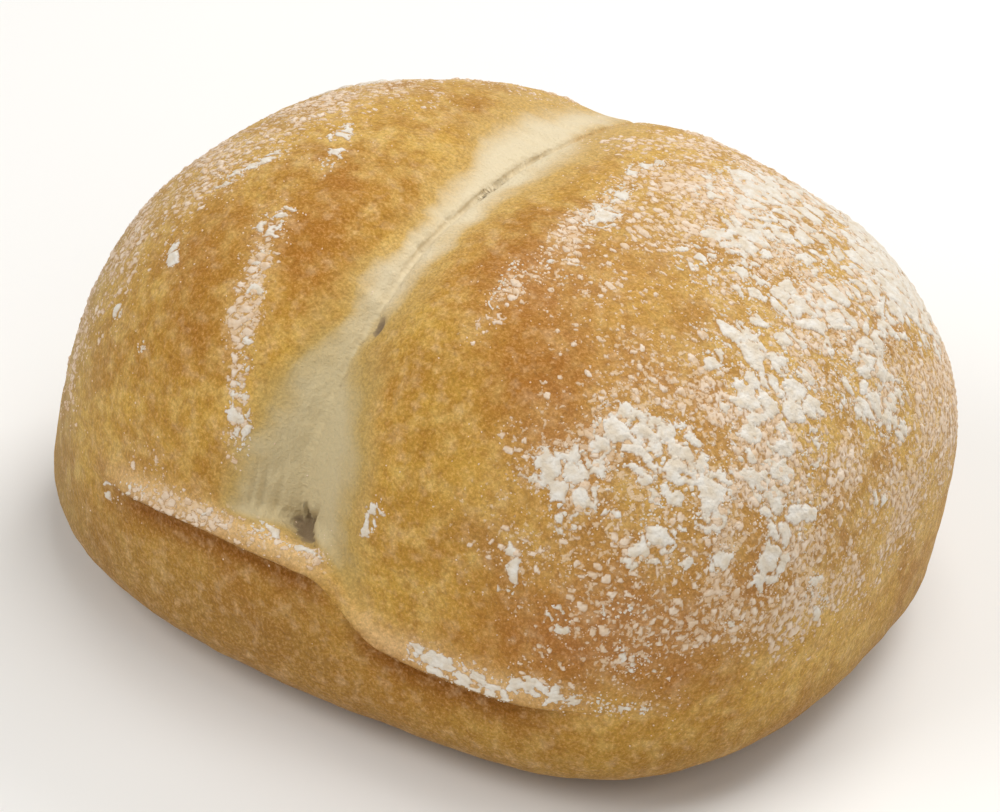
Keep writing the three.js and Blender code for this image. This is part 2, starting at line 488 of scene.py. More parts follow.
@dataclass(frozen=True)
class Loaf:
    """The whole form of the roll, in millimetres from the middle of its crease."""

    plan: Plan = Plan()
    crease: Crease = Crease()
    pit: Pit = Pit()
    lip: Lip = Lip()
    dome_height: float = 63.0
    belly_height: float = 12.6
    dome_power: float = 2.84  # of the profile over the belly
    belly_power: float = 3.13  # and under it
    belly_depth_share: float = 1.12  # its curve's depth over its height, as the floor cuts it off
    lean: float = 0.13  # how far the sides lean to +X for each millimetre up
    tilt: float = -0.042  # how far the top rises for each millimetre to +X
    heart_height: float = 21.2  # the relief stands out from the point at this height
    bow_depth: float = 0.95  # how far the whole roll, crease and all, waves to each side
    bow_length: float = 15.5
    uneven_depth: float = 0.11  # of each slow wave
    uneven_lengths: tuple[float, ...] = (71.0, 53.0, 39.0, 28.0)
    uneven_heading: float = 137.5  # turn from one wave to the next, in degrees
    uneven_climb: float = 0.8  # how fast a wave changes upwards over how fast it does along
    uneven_heights: tuple[float, float] = (2.0, 20.0)  # over which the waves come in

    @staticmethod
    def radius(angle: np.ndarray, power: float) -> np.ndarray:
        """Polar radius of the superellipse |x|^power + |y|^power = 1."""
        return (np.abs(np.cos(angle)) ** power + np.abs(np.sin(angle)) ** power) ** (-1 / power)

    @staticmethod
    def angle(height: np.ndarray | float, power: float) -> np.ndarray:
        """Polar angle at which that superellipse has the given height, from 0 to 1."""
        return np.arctan2(height, (1 - height**power) ** (1 / power))

    def plain(self, azimuth: np.ndarray, elevation: np.ndarray) -> np.ndarray:
        """The loaf without crease or lip.

        Args:
            azimuth: Direction round the crease's middle, from +X, in radians.
            elevation: Polar angle of the upright profile, 0 at the belly.

        Returns:
            Points as an array of rows.
        """
        dome = elevation >= 0
        radius = np.where(
            dome,
            self.radius(elevation, self.dome_power),
            self.radius(elevation, self.belly_power),
        )
        rise = np.where(
            dome,
            self.dome_height - self.belly_height,
            self.belly_height * self.belly_depth_share,
        )
        height = self.belly_height + rise * radius * np.sin(elevation)
        leaning = self.lean * (height - self.belly_height)
        x, y = self.plan.spread(azimuth, radius * np.cos(elevation), leaning)
        z = height + self.tilt * x * smooth(self.belly_height, self.dome_height, height)
        return np.stack([x, y, z], axis=-1)

    def unevenness(self, point: np.ndarray) -> np.ndarray:
        """Slow waves over the whole crust, which die out towards the flat base.

        Args:
            point: Points of the plain loaf.

        Returns:
            How far the waves move each point out.
        """
        total = np.zeros(point.shape[:-1])
        for i, length in enumerate(self.uneven_lengths):
            heading = math.radians(self.uneven_heading * (i + 1))
            towards = np.array([math.cos(heading), math.sin(heading), self.uneven_climb])
            total += np.sin(2 * math.pi * (point @ towards) / length + i)
        return self.uneven_depth * total * smooth(*self.uneven_heights, point[..., 2])

    def crust(self, azimuth: np.ndarray, elevation: np.ndarray) -> CrustPoints:
        """The finished crust, with crease and lip.

        Args:
            azimuth: Direction round the crease's middle, from +X, in radians.
            elevation: Polar angle of the upright profile, 0 at the belly.

        Returns:
            The points and what is known of them.
        """
        point = self.plain(azimuth, elevation)
        over_step = point[..., 2] - self.lip.step(azimuth, self.belly_height)
        depth = self.crease.depth_at(point, over_step)
        window = self.lip.window(azimuth)
        push = window * self.lip.relief(over_step) - depth + self.unevenness(point)
        arm = point - np.array([0, 0, self.heart_height])
        pit = self.pit.push(point, over_step)
        place = point + pit + arm * (push / np.linalg.norm(arm, axis=-1))[..., None]
        place[..., 0] += self.bow_depth * np.sin(place[..., 1] / self.bow_length)
        place[..., 2] = np.maximum(place[..., 2], 0)
        return CrustPoints(
            place, self.crease.off(point), self.crease.off_slit(point), point[..., 1],
            over_step, np.linalg.norm(pit, axis=-1), window,
        )


# Flour


@dataclass(frozen=True)
class Drift:
    """A spot or a streak of flour or of browning on the crust, in millimetres."""

    place: tuple[float, float, float]
    radius: float
    amount: float
    to: tuple[float, float, float] | None = None  # far end of a streak

    def amount_at(self, place: np.ndarray) -> np.ndarray:
        """How much this drift leaves at each point.

        Args:
            place: Points as rows.

        Returns:
            The amounts, most in the middle of the drift.
        """
        start = np.array(self.place)
        run = np.array(self.to or self.place) - start
        share = np.clip((place - start) @ run / max(run @ run, 1e-9), 0, 1)
        away = np.linalg.norm(place - start - share[..., None] * run, axis=-1)
        return self.amount * bell(away, self.radius)


@dataclass(frozen=True)
class Flouring:
    """Where the baker's flour stayed on the crust, in millimetres.

    An edge is the pair of noise values between which a pattern comes in.
    """

    thick: tuple[Drift, ...] = (
        # large lobe: top and far shoulder
        Drift((13, 7, 62), 2.4, 0.8, to=(14, -1, 62)),
        Drift((12, 12, 62), 1.6, 0.7, to=(14, 16, 61)),
        Drift((22, 13, 61), 2.0, 0.75),
        Drift((29, 8, 60), 2.4, 0.95),
        Drift((32, 9, 59), 2.4, 0.95),
        Drift((27, 0, 60), 2.0, 0.75),
        Drift((39, 4, 57), 2.3, 1.0),
        Drift((44, 5, 55), 3.6, 1.1),
        Drift((29, 19, 58), 8.5, 0.9, to=(45, 15, 53)),
        Drift((40, 28, 51), 6.0, 0.85, to=(48, 22, 48)),
        Drift((50, 6, 50), 4.5, 0.75, to=(54, 5, 46)),
        Drift((24, 22, 58), 4.0, 0.75, to=(34, 33, 50)),
        Drift((39, 31, 48), 5.0, 0.9, to=(50, 26, 43)),
        Drift((35, -10, 58), 1.3, 0.95),
        Drift((37, -8, 57), 1.9, 1.0, to=(40, -8, 56)),
        Drift((42, -7, 55), 1.5, 0.95),
        Drift((43, -3, 55), 2.0, 1.05),
        Drift((38, -13, 56), 1.4, 0.9),
        Drift((48, -8, 51), 2.8, 1.1),
        Drift((44, -13, 53), 1.6, 0.95),
        Drift((43, -16, 53), 1.7, 0.95),
        Drift((46, -18, 50), 1.9, 1.05),
        Drift((50, -16, 48), 1.3, 0.9, to=(50, -19, 47)),
        Drift((16, -13, 61), 1.7, 1.0, to=(14, -14, 61)),
        Drift((11, -23, 60), 1.2, 0.8, to=(10, -14, 62)),
        Drift((34, 2, 59), 6.0, 0.5, to=(47, -12, 51)),
        Drift((52, 0, 48), 6.0, 0.5),
        Drift((48, -14, 50), 5.0, 0.5, to=(55, -22, 39)),
        # large lobe: middle
        Drift((33, -29, 53), 3.0, 1.35),
        Drift((35, -27, 53), 1.3, 0.95),
        Drift((38, -28, 52), 3.6, 1.35, to=(40, -28, 50)),
        Drift((31, -36, 49), 2.7, 1.0),
        Drift((27, -36, 50), 1.3, 0.85),
        Drift((33, -33, 51), 1.8, 0.85),
        Drift((44, -26, 48), 2.1, 1.05),
        Drift((47, -29, 45), 2.2, 1.1),
        Drift((43, -35, 43), 2.3, 1.25),
        Drift((41, -38, 41), 1.5, 1.05),
        Drift((47, -34, 40), 1.2, 0.95),
        Drift((31, -39, 45), 1.5, 1.0, to=(32, -40, 43)),
        Drift((27, -43, 40), 1.3, 0.9, to=(27, -44, 34)),
        Drift((34, -42, 39), 1.0, 0.95),
        Drift((34, -44, 33), 1.4, 0.9, to=(35, -44, 31)),
        Drift((40, -41, 34), 1.2, 0.85, to=(43, -39, 35)),
        Drift((48, -21, 48), 1.8, 0.85),
        Drift((54, -21, 41), 1.6, 1.0, to=(54, -17, 41)),
        Drift((54, -24, 38), 1.9, 1.1, to=(54, -26, 36)),
        Drift((50, -30, 40), 1.3, 0.95, to=(50, -32, 38)),
        Drift((58, -19, 32), 1.9, 0.95),
        Drift((58, -18, 28), 2.4, 0.6),
        Drift((59, -3, 36), 1.7, 1.1),
        Drift((57, 5, 41), 1.2, 1.05),
        Drift((52, -31, 31), 2.4, 0.65),
        Drift((43, -41, 27), 4.0, 0.5),
        Drift((30, -36, 48), 5.0, 0.42, to=(46, -28, 46)),
        # small lobe
        Drift((-22, -22, 59), 2.6, 0.8),
        Drift((-21, -27, 57), 1.4, 0.5, to=(-19, -32, 54)),
        Drift((-19, -34, 52), 1.4, 0.5, to=(-16, -38, 48)),
        Drift((-16, -40, 45), 1.6, 0.65, to=(-14, -43, 39)),
        Drift((-36, -23, 55), 1.2, 0.5, to=(-34, -28, 52)),
        Drift((-41, -31, 43), 1.3, 0.95),
        Drift((-34, -36, 43), 1.3, 1.0),
        Drift((-29, -10, 61), 1.5, 0.65, to=(-34, -16, 58)),
        Drift((-24, -1, 62), 1.3, 0.6, to=(-21, -12, 62)),
        # lip and ledge
        Drift((-36, -40, 21), 1.2, 1.05, to=(-29, -44, 26)),
        Drift((-18, -46, 28), 1.5, 0.35, to=(-9, -45, 29)),
        Drift((-9, -45, 30), 1.0, 0.7, to=(1, -46, 29)),
        Drift((7, -44, 41), 1.3, 1.6, to=(6, -45, 35)),
        Drift((16, -47, 21), 1.3, 1.25, to=(29, -47, 20)),
        Drift((30, -47, 22), 1.6, 0.7, to=(45, -40, 20)),
    )
    thin: tuple[Drift, ...] = (
        Drift((40, 20, 54), 22.0, 1.0, to=(50, -10, 50)),
        Drift((36, -34, 48), 13.0, 0.88, to=(54, -22, 36)),
        Drift((20, 14, 61), 9.0, 0.5, to=(20, -14, 61)),
        Drift((12, 11, 62), 2.2, 0.6, to=(13, -9, 62)),
        Drift((13, -9, 62), 2.0, 0.7, to=(11, -28, 58)),
        Drift((49, 32, 38), 8.0, 1.1, to=(59, 12, 36)),
        Drift((24, -43, 38), 9.0, 0.32, to=(42, -41, 30)),
        Drift((33, -44, 26), 5.0, 0.15, to=(52, -34, 30)),
        # the next three drifts lie on the lobes' rims, partly dust and partly painted sheen that
        # dust shows at a grazing angle
        Drift((-28, 10, 61), 11.0, 0.85, to=(-42, -20, 50)),
        Drift((52, -4, 46), 10.0, 1.0, to=(60, 0, 34)),
        Drift((-46, -6, 45), 10.0, 0.85, to=(-49, -24, 30)),
        Drift((-22, -22, 58), 2.2, 1.3, to=(-19, -34, 52)),
        Drift((-19, -34, 52), 1.8, 1.5, to=(-14, -43, 38)),
        Drift((-28, -42, 30), 6.0, 0.35),
        Drift((-30, -45, 26), 2.4, 1.2, to=(0, -46, 30)),
        Drift((16, -47, 21), 3.0, 0.7, to=(46, -39, 20)),
        Drift((4, 25, 58), 12.0, 0.6, to=(22, 26, 57)),
    )
    most: float = 1.3  # thick flour never counts for more
    most_dust: float = 1.1  # nor does dust
    away: tuple[float, float, float] = (-0.48, 0.88, 0.0)  # towards the roll's far side
    away_from: tuple[float, float] = (22.0, 30.0)  # how far that way the far side starts
    away_above: tuple[float, float] = (22.0, 36.0)  # height at which its flour starts
    far_patch: float = 17.0  # breadth of the thick patches there
    far_patch_edge: tuple[float, float] = (0.5, 0.68)
    far_dust: float = 0.6  # least dust there
    dust_patch: float = 6.0  # breadth of the patches in which dust is thicker
    dust_patch_edge: tuple[float, float] = (0.38, 0.6)
    dust_between: float = 0.5  # share of the dust that is left between its patches
    chance: Chance = Chance(5)
    stretch: tuple[float, float, float] = (0.7, 1.0, 0.85)  # flour lies in lumps along X
    ragged: tuple[tuple[float, float], ...] = ((4.4, 0.9), (1.5, 0.6), (0.8, 0.5))  # size, weight

    def far_side(self, place: np.ndarray) -> np.ndarray:
        """1 on the side away from the deeper lip, 0 on the near side."""
        beyond = smooth(*self.away_from, place @ np.array(self.away))
        return beyond * smooth(*self.away_above, place[..., 2])

    def thickness(self, place: np.ndarray) -> np.ndarray:
        """How much thick flour was left at each point.

        Args:
            place: Points as rows.

        Returns:
            The amounts, from the drifts in front and from random patches on the far side.
        """
        far = smooth(*self.far_patch_edge, self.chance.clouds(place, self.far_patch))
        far = far * self.far_side(place)
        return np.minimum(sum(drift.amount_at(place) for drift in self.thick) + far, self.most)

    def raggedness(
        self, place: np.ndarray, layers: Sequence[tuple[float, float]],
    ) -> np.ndarray:
        """Uneven hold of flour on the crust.

        Args:
            place: Points as rows.
            layers: Size and weight of each layer of clouds.

        Returns:
            Values about 0.
        """
        stretched = place * np.array(self.stretch)
        return sum(
            weight * (self.chance.clouds(stretched, size) - 0.5) for size, weight in layers
        )

    def strength(self, place: np.ndarray) -> np.ndarray:
        """How strongly thick flour holds together at each point, about 0 to 1.3."""
        return self.thickness(place) + self.raggedness(place, self.ragged)

    def dust(self, place: np.ndarray) -> np.ndarray:
        """How much thin dust lies at each point.

        Args:
            place: Points as rows.

        Returns:
            The amounts, thicker in patches.
        """
        total = sum(drift.amount_at(place) for drift in self.thin)
        total = np.maximum(total, self.far_dust * self.far_side(place))
        patches = smooth(*self.dust_patch_edge, self.chance.clouds(place, self.dust_patch))
        shown = self.dust_between + (1 - self.dust_between) * patches
        return np.minimum(total, self.most_dust) * shown


@dataclass(frozen=True)
class PaleBand:
    """How far the dough stayed pale beside the crease, since it opened late in the oven.

    Cream dough shows next to the slit and turns to straw before the golden crust. At each
    distance along the crease the widths say how far each of them reaches to either side.
    """

    along: tuple[float, ...] = (-47, -44, -41, -35, -28, -13, 0, 8, 16, 24, 34, 44)
    left_cream: tuple[float, ...] = (7.6, 7.2, 4.2, 3.0, 3.4, 2.6, 5.0, 6.0, 5.2, 3.4, 1.6, 0.6)
    left_straw: tuple[float, ...] = (8.6, 8.6, 7.2, 5.2, 5.4, 4.4, 8.0, 9.4, 10.4, 10.6, 6.6, 4.4)
    right_cream: tuple[float, ...] = (9.0, 6.4, 2.4, 0.0, 1.4, 3.0, 4.4, 4.2, 3.4, 2.6, 1.6, 0.8)
    right_straw: tuple[float, ...] = (12.6, 11.0, 7.4, 4.2, 4.4, 5.4, 7.6, 8.6, 9.4, 9.0, 6.0, 4.5)
    fray: float = 6.0  # how far its border wanders in all
    fray_size: float = 5.0  # breadth of a bay in it
    softness: float = 3.0  # half the breadth over which it fades
    end_cream: float = 0.75  # how creamy the ends of the crease stay
    front_end: tuple[float, float] = (20.0, 40.0)  # distances at which the ends start
    back_end: tuple[float, float] = (18.0, 34.0)
    over_step: tuple[float, float] = (3.0, 4.8)  # heights at which the band starts
    chance: Chance = Chance(11)

    def share(self, points: CrustPoints) -> np.ndarray:
        """How far the band covers each point.

        Args:
            points: The crust's points.

        Returns:
            0 on golden crust, 0.5 on straw and 1 on cream dough.
        """
        off = points.off_crease
        frayed = self.fray * (self.chance.clouds(points.place, self.fray_size) - 0.5)
        total = 0.0
        for left, right in (
            (self.left_cream, self.right_cream), (self.left_straw, self.right_straw),
        ):
            sides = [np.interp(points.along, self.along, side) for side in (left, right)]
            width = np.where(off < 0, *sides)
            over = (np.abs(off) + frayed - width) / self.softness
            total = total + 0.5 * (1 - smooth(-1.0, 1.0, over))
        ends = np.maximum(
            smooth(*self.front_end, -points.along), smooth(*self.back_end, points.along),
        )
        cream = 1 - (1 - self.end_cream) * ends
        total = np.minimum(total, 0.5 + (total - 0.5) * cream)
        return total * smooth(*self.over_step, points.over_step)


# Finishes


@dataclass(frozen=True)
class Grain:
    """Noise whose features have a real size in millimetres."""

    size: float
    detail: float = 2.0
    low: float = 0.35
    high: float = 0.65
    roughness: float = 0.5

    def draw(self, tree: bpy.types.NodeTree, vector: bpy.types.NodeSocket) -> bpy.types.NodeSocket:
        """Adds the pattern to a shader tree.

        Args:
            tree: The shader tree.
            vector: Place on the surface, in millimetres.

        Returns:
            The pattern, from 0 to 1.
        """
        noise = add_node(tree, "ShaderNodeTexNoise", {
            "Vector": vector, "Scale": 1 / self.size, "Detail": self.detail,
            "Roughness": self.roughness,
        })
        return add_node(
            tree, "ShaderNodeMapRange",
            {"Value": noise.outputs[0], "From Min": self.low, "From Max": self.high},
        ).outputs[0]


@dataclass(frozen=True)
class DustSpecks:
    """Flour dust caught on the grain of the crust, too fine to be lumps."""

    speck: Grain = Grain(0.8, detail=3.0, low=0.3, high=0.7)  # real dust is too fine to show
    thickest: float = 0.34  # level of the grain over which thick dust shows
    thinnest: float = 1.0  # and the one over which the thinnest dust does
    edge: float = 0.25  # rise of the grain over which a speck's edge comes in

    def draw(
        self,
        tree: bpy.types.NodeTree,
        rest: bpy.types.NodeSocket,
        amount: bpy.types.NodeSocket,
    ) -> bpy.types.NodeSocket:
        """Adds the specks to a shader tree.

        Args:
            tree: The shader tree.
            rest: Place on the crust, in millimetres.
            amount: How much dust lies there.

        Returns:
            1 on a speck, 0 off it.
        """
        fine = self.speck.draw(tree, rest)
        level = add_node(
            tree, "ShaderNodeMapRange",
            {"Value": amount, "To Min": self.thinnest, "To Max": self.thickest},
        )
        over = add_node(
            tree, "ShaderNodeMath", {0: fine, 1: level.outputs[0]}, operation="SUBTRACT",
        )
        return add_node(
            tree, "ShaderNodeMapRange",
            {"Value": over.outputs[0], "From Min": 0.0, "From Max": self.edge},
            interpolation_type="SMOOTHSTEP",
        ).outputs[0]


@dataclass(frozen=True)
class Tint:
    """A colour that is laid over others, and the most of it that shows."""

    colour: str  # sRGB
    most: float = 1.0


@dataclass(frozen=True)
class BakedWheatCrust:
    """Crust of a wheat dough, browned dry in the oven under a dusting of flour.

    The sugars brown to gold where the oven's heat reaches and stay cream in the crease.
    It is matt with a fine grain, and the flour on it is duller and much lighter.
    """

    # colours, from the lowest up
    gold: str = "CB9F42"  # sRGB
    brown: Tint = Tint("AD7925")
    light: Tint = Tint("DDB96A", 0.75)
    fleck: Tint = Tint("9F6C1E", 0.6)
    # browner crust, and painted shade on the crease's right bank in front
    toasted: Tint = Tint("A35F15", 0.75)
    # painted shade, darker down the skirt towards the base
    skirt: Tint = Tint("996F2E", 0.72)
    # the lip's face, partly its own lighter tone and partly painted highlight
    rim: Tint = Tint("EBC48A", 0.75)
    # painted shade in the groove under the lip
    scorch: Tint = Tint("8E560B")
    bloom: Tint = Tint("E2BD8E", 0.33)
    fine_bloom: Tint = Tint("E2BD8E", 0.25)
    straw: Tint = Tint("CAA55E", 0.85)
    cream: Tint = Tint("E2D3B2", 0.9)
    # painted shade, greyish olive
    raw: Tint = Tint("968F5E", 0.28)
    # painted shade in the slit and the pit
    deep: Tint = Tint("8A765A")
    haze: Tint = Tint("EFD5B5", 0.12)  # even dust, with painted sheen on the lobes' rims
    dust: Tint = Tint("EFD5B5", 0.58)  # dust caught in specks
    # patterns, from the size of the patches that the oven browned down to the grain
    patches: Grain = Grain(11.0, detail=3.0)
    mottle: Grain = Grain(3.2, detail=4.0, low=0.45, high=0.72)
    flecks: Grain = Grain(1.3, detail=4.0, low=0.45, high=0.72)
    blooming: Grain = Grain(1.9, detail=4.0, low=0.52, high=0.72)
    grain: Grain = Grain(0.45, detail=4.0, low=0.26, high=0.74, roughness=0.7)
    grain_lightness: tuple[float, float] = (0.67, 1.31)
    pores: Grain = Grain(0.9, detail=2.0, low=0.2, high=0.8)
    tear: Grain = Grain(0.8, detail=4.0, low=0.3, high=0.7)
    tear_share: float = 0.6  # how much the tear's grain shifts the edge of the dark
    tear_edge: tuple[float, float] = (0.7, 0.95)
    specks: DustSpecks = DustSpecks()
    # surface
    relief: float = 0.14  # depth of the pores, in millimetres
    grain_relief: float = 0.6  # what the grain adds, as a share of that
    dust_relief: float = 0.5  # and what the dust adds
    roughness: tuple[float, float] = (0.7, 0.95)  # of bare crust and of flour
    ior: float = 1.45
    sheen: float = 0.08
    gloss: float = 0.18

    def material(self) -> bpy.types.Material:
        """Builds the material, which reads the crust's own values.

        Returns:
            The node material.
        """
        material = bpy.data.materials.new("baked_wheat_crust")
        material.use_nodes = True
        tree = material.node_tree
        tree.nodes.clear()
        share = {
            field: add_node(tree, "ShaderNodeAttribute", attribute_name=field.value).outputs["Fac"]
            for field in Field if field is not Field.THIN
        }
        rest = share[Field.REST].node.outputs["Vector"]
        torn = self.torn(tree, rest, share[Field.DEEP_SHADE])
        grain = self.grain.draw(tree, rest)
        dust = self.specks.draw(tree, rest, share[Field.DUST])
        fine_bloom, straw, cream, lightness = (
            add_node(tree, "ShaderNodeMapRange", {
                "Value": value, "From Min": low, "From Max": high, "To Min": least, "To Max": most,
            }).outputs[0]
            for value, low, high, least, most in (
                (grain, 0.5, 1.0, 0.0, 1.0),
                (share[Field.PALE], 0.0, 0.5, 0.0, 1.0),
                (share[Field.PALE], 0.5, 1.0, 0.0, 1.0),
                (grain, 0.0, 1.0, *self.grain_lightness),
            )
        )
        colour = self.layered(tree, linear_colour(self.gold), (
            (self.patches.draw(tree, rest), self.brown),
            (self.mottle.draw(tree, rest), self.light),
            (self.flecks.draw(tree, rest), self.fleck),
            (share[Field.BROWN], self.toasted),
            (share[Field.SKIRT_SHADE], self.skirt),
            (share[Field.RIM_TONE_AND_HIGHLIGHT], self.rim),
            (share[Field.GROOVE_SHADE], self.scorch),
            (self.blooming.draw(tree, rest), self.bloom),
            (fine_bloom, self.fine_bloom),
            (straw, self.straw),
        ))
        colour = add_node(
            tree, "ShaderNodeHueSaturation", {"Value": lightness, "Color": colour},
        ).outputs[0]
        colour = self.layered(tree, colour, (
            (cream, self.cream),
            (share[Field.RAW], self.raw),
            (torn, self.deep),
            (share[Field.DUST], self.haze),
            (dust, self.dust),
        ))
        bare, floured = self.roughness
        shader = add_node(tree, "ShaderNodeBsdfPrincipled", {
            "Base Color": colour,
            "Roughness": add_node(
                tree, "ShaderNodeMapRange", {"Value": dust, "To Min": bare, "To Max": floured},
            ).outputs[0],
            "IOR": self.ior,
            "Specular IOR Level": self.gloss,
            "Sheen Weight": self.sheen,
            "Normal": self.micro_relief(tree, rest, grain, dust),
        })
        add_node(tree, "ShaderNodeOutputMaterial", {"Surface": shader.outputs[0]})
        return material

    def torn(
        self,
        tree: bpy.types.NodeTree,
        rest: bpy.types.NodeSocket,
        deep: bpy.types.NodeSocket,
    ) -> bpy.types.NodeSocket:
        """Breaks up the outline of the painted shade in the slit and the pit.

        Args:
            tree: The shader tree.
            rest: Place on the crust, in millimetres.
            deep: Painted shade in the slit and the pit, by how far down them the point lies.

        Returns:
            How much painted shade the slit and the pit get there, from 0 to 1.
        """
        low, high = self.tear_edge
        over = add_node(
            tree, "ShaderNodeMath", {0: self.tear.draw(tree, rest), 1: self.tear_share, 2: deep},
            operation="MULTIPLY_ADD",
        )
        edge = add_node(
            tree, "ShaderNodeMapRange",
            {"Value": over.outputs[0], "From Min": low, "From Max": high},
        )
        return add_node(
            tree, "ShaderNodeMath", {0: edge.outputs[0], 1: deep}, operation="MULTIPLY",
        ).outputs[0]

    def layered(
        self,
        tree: bpy.types.NodeTree,
        colour: NodeValue,
        layers: Sequence[tuple[bpy.types.NodeSocket, Tint]],
    ) -> bpy.types.NodeSocket:
        """Lays colours over one another.

        Args:
            tree: The shader tree.
            colour: The colour at the bottom.
            layers: Each layer's mask and tint, from the lowest up.

        Returns:
            The colour on top.
        """
        for mask, tint in layers:
            shown = add_node(
                tree, "ShaderNodeMath", {0: mask, 1: tint.most}, operation="MULTIPLY",
            ).outputs[0]
            colour = add_node(
                tree, "ShaderNodeMix",
                {0: shown, MIX_UNDER: colour, MIX_OVER: linear_colour(tint.colour)},
                data_type="RGBA",
            ).outputs[MIX_RESULT]
        return colour

    def micro_relief(
        self,
        tree: bpy.types.NodeTree,
        rest: bpy.types.NodeSocket,
        grain: bpy.types.NodeSocket,
        dust: bpy.types.NodeSocket,
    ) -> bpy.types.NodeSocket:
        """Relief too fine for the mesh: the crust's grain and the dust on it.

        Args:
            tree: The shader tree.
            rest: Place on the crust, in millimetres.
            grain: The crust's grain.
            dust: 1 on a speck of dust.

        Returns:
            The bent normal.
        """
        height = self.pores.draw(tree, rest)
        for share, thickness in ((grain, self.grain_relief), (dust, self.dust_relief)):
            height = add_node(
                tree, "ShaderNodeMath",
                {0: share, 1: thickness, 2: height}, operation="MULTIPLY_ADD",
            ).outputs[0]
        return add_node(
            tree, "ShaderNodeBump", {"Height": height, "Distance": self.relief * METRES_PER_MM},
        ).outputs[0]


@dataclass(frozen=True)
class WheatFlour:
    """White bread flour, dried on by the oven: chalky, cloudy and browner where it is thin, with
    painted shade at its lumps' edges.
    """

    name: str = "wheat_flour"
    # sRGB colours
    white: str = "E8E1D5"
    cream: str = "DCCDB6"
    through_and_shade: str = "A9783A"  # crust that shows through where it is thinnest, darkened as painted shade at the lumps' edges
    # patterns
    clouds: Grain = Grain(1.4, detail=3.0)
    powder: Grain = Grain(0.5, detail=4.0, low=0.2, high=0.8)  # real powder is too fine to show
    relief: float = 0.2  # depth of the powder's grain, in millimetres
    roughness: float = 0.95

    def material(self) -> bpy.types.Material:
        """Builds the material, which reads the flour's own values.

        Returns:
            The node material.
        """
        material = bpy.data.materials.new(self.name)
        material.use_nodes = True
        tree = material.node_tree
        shader = tree.nodes["Principled BSDF"]
        rest, thin = (
            add_node(tree, "ShaderNodeAttribute", attribute_name=field.value)
            for field in (Field.REST, Field.THIN)
        )
        place = rest.outputs["Vector"]
        colour = linear_colour(self.white)
        for mask, over in (
            (self.clouds.draw(tree, place), self.cream), (thin.outputs["Fac"], self.through_and_shade),
        ):
            colour = add_node(
                tree, "ShaderNodeMix",
                {0: mask, MIX_UNDER: colour, MIX_OVER: linear_colour(over)}, data_type="RGBA",
            ).outputs[MIX_RESULT]
        bump = add_node(tree, "ShaderNodeBump", {
            "Height": self.powder.draw(tree, place), "Distance": self.relief * METRES_PER_MM,
        })
        tree.links.new(colour, shader.inputs["Base Color"])
        tree.links.new(bump.outputs[0], shader.inputs["Normal"])
        shader.inputs["Roughness"].default_value = self.roughness
        return material


@dataclass(frozen=True)
class PaintedBoard:
    """Matt white board under the roll, which gives it a soft, even ground."""

    colour: str = "F1EFEB"
    roughness: float = 0.9

    def material(self) -> bpy.types.Material:
        """Builds the material.

        Returns:
            The node material.
        """
        material = bpy.data.materials.new("painted_board")
        material.use_nodes = True
        shader = material.node_tree.nodes["Principled BSDF"]
        shader.inputs["Base Color"].default_value = linear_colour(self.colour)
        shader.inputs["Roughness"].default_value = self.roughness
        return material


# Pieces


def new_piece(
    name: str,
    place: np.ndarray,
    faces: Sequence[Sequence[int]],
    material: bpy.types.Material,
) -> bpy.types.Object:
    """Makes a smooth piece whose points keep their place in millimetres.

    Args:
        name: The piece's name.
        place: Its points in millimetres, as rows.
        faces: Its faces, as rows of point numbers.
        material: Its finish.

    Returns:
        The piece's object, at the frame's origin.
    """
    mesh = bpy.data.meshes.new(name)
    mesh.from_pydata((place * METRES_PER_MM).tolist(), [], faces)
    mesh.polygons.foreach_set("use_smooth", [True] * len(mesh.polygons))
    mesh.materials.append(material)
    rest = mesh.attributes.new(Field.REST.value, "FLOAT_VECTOR", "POINT")
    rest.data.foreach_set("vector", place.astype(np.float32).ravel())
    piece = bpy.data.objects.new(name, mesh)
    bpy.context.collection.objects.link(piece)
    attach(piece, "root")
    LOG.info("%s: %d points, %d faces", name, len(mesh.vertices), len(mesh.polygons))
    return piece


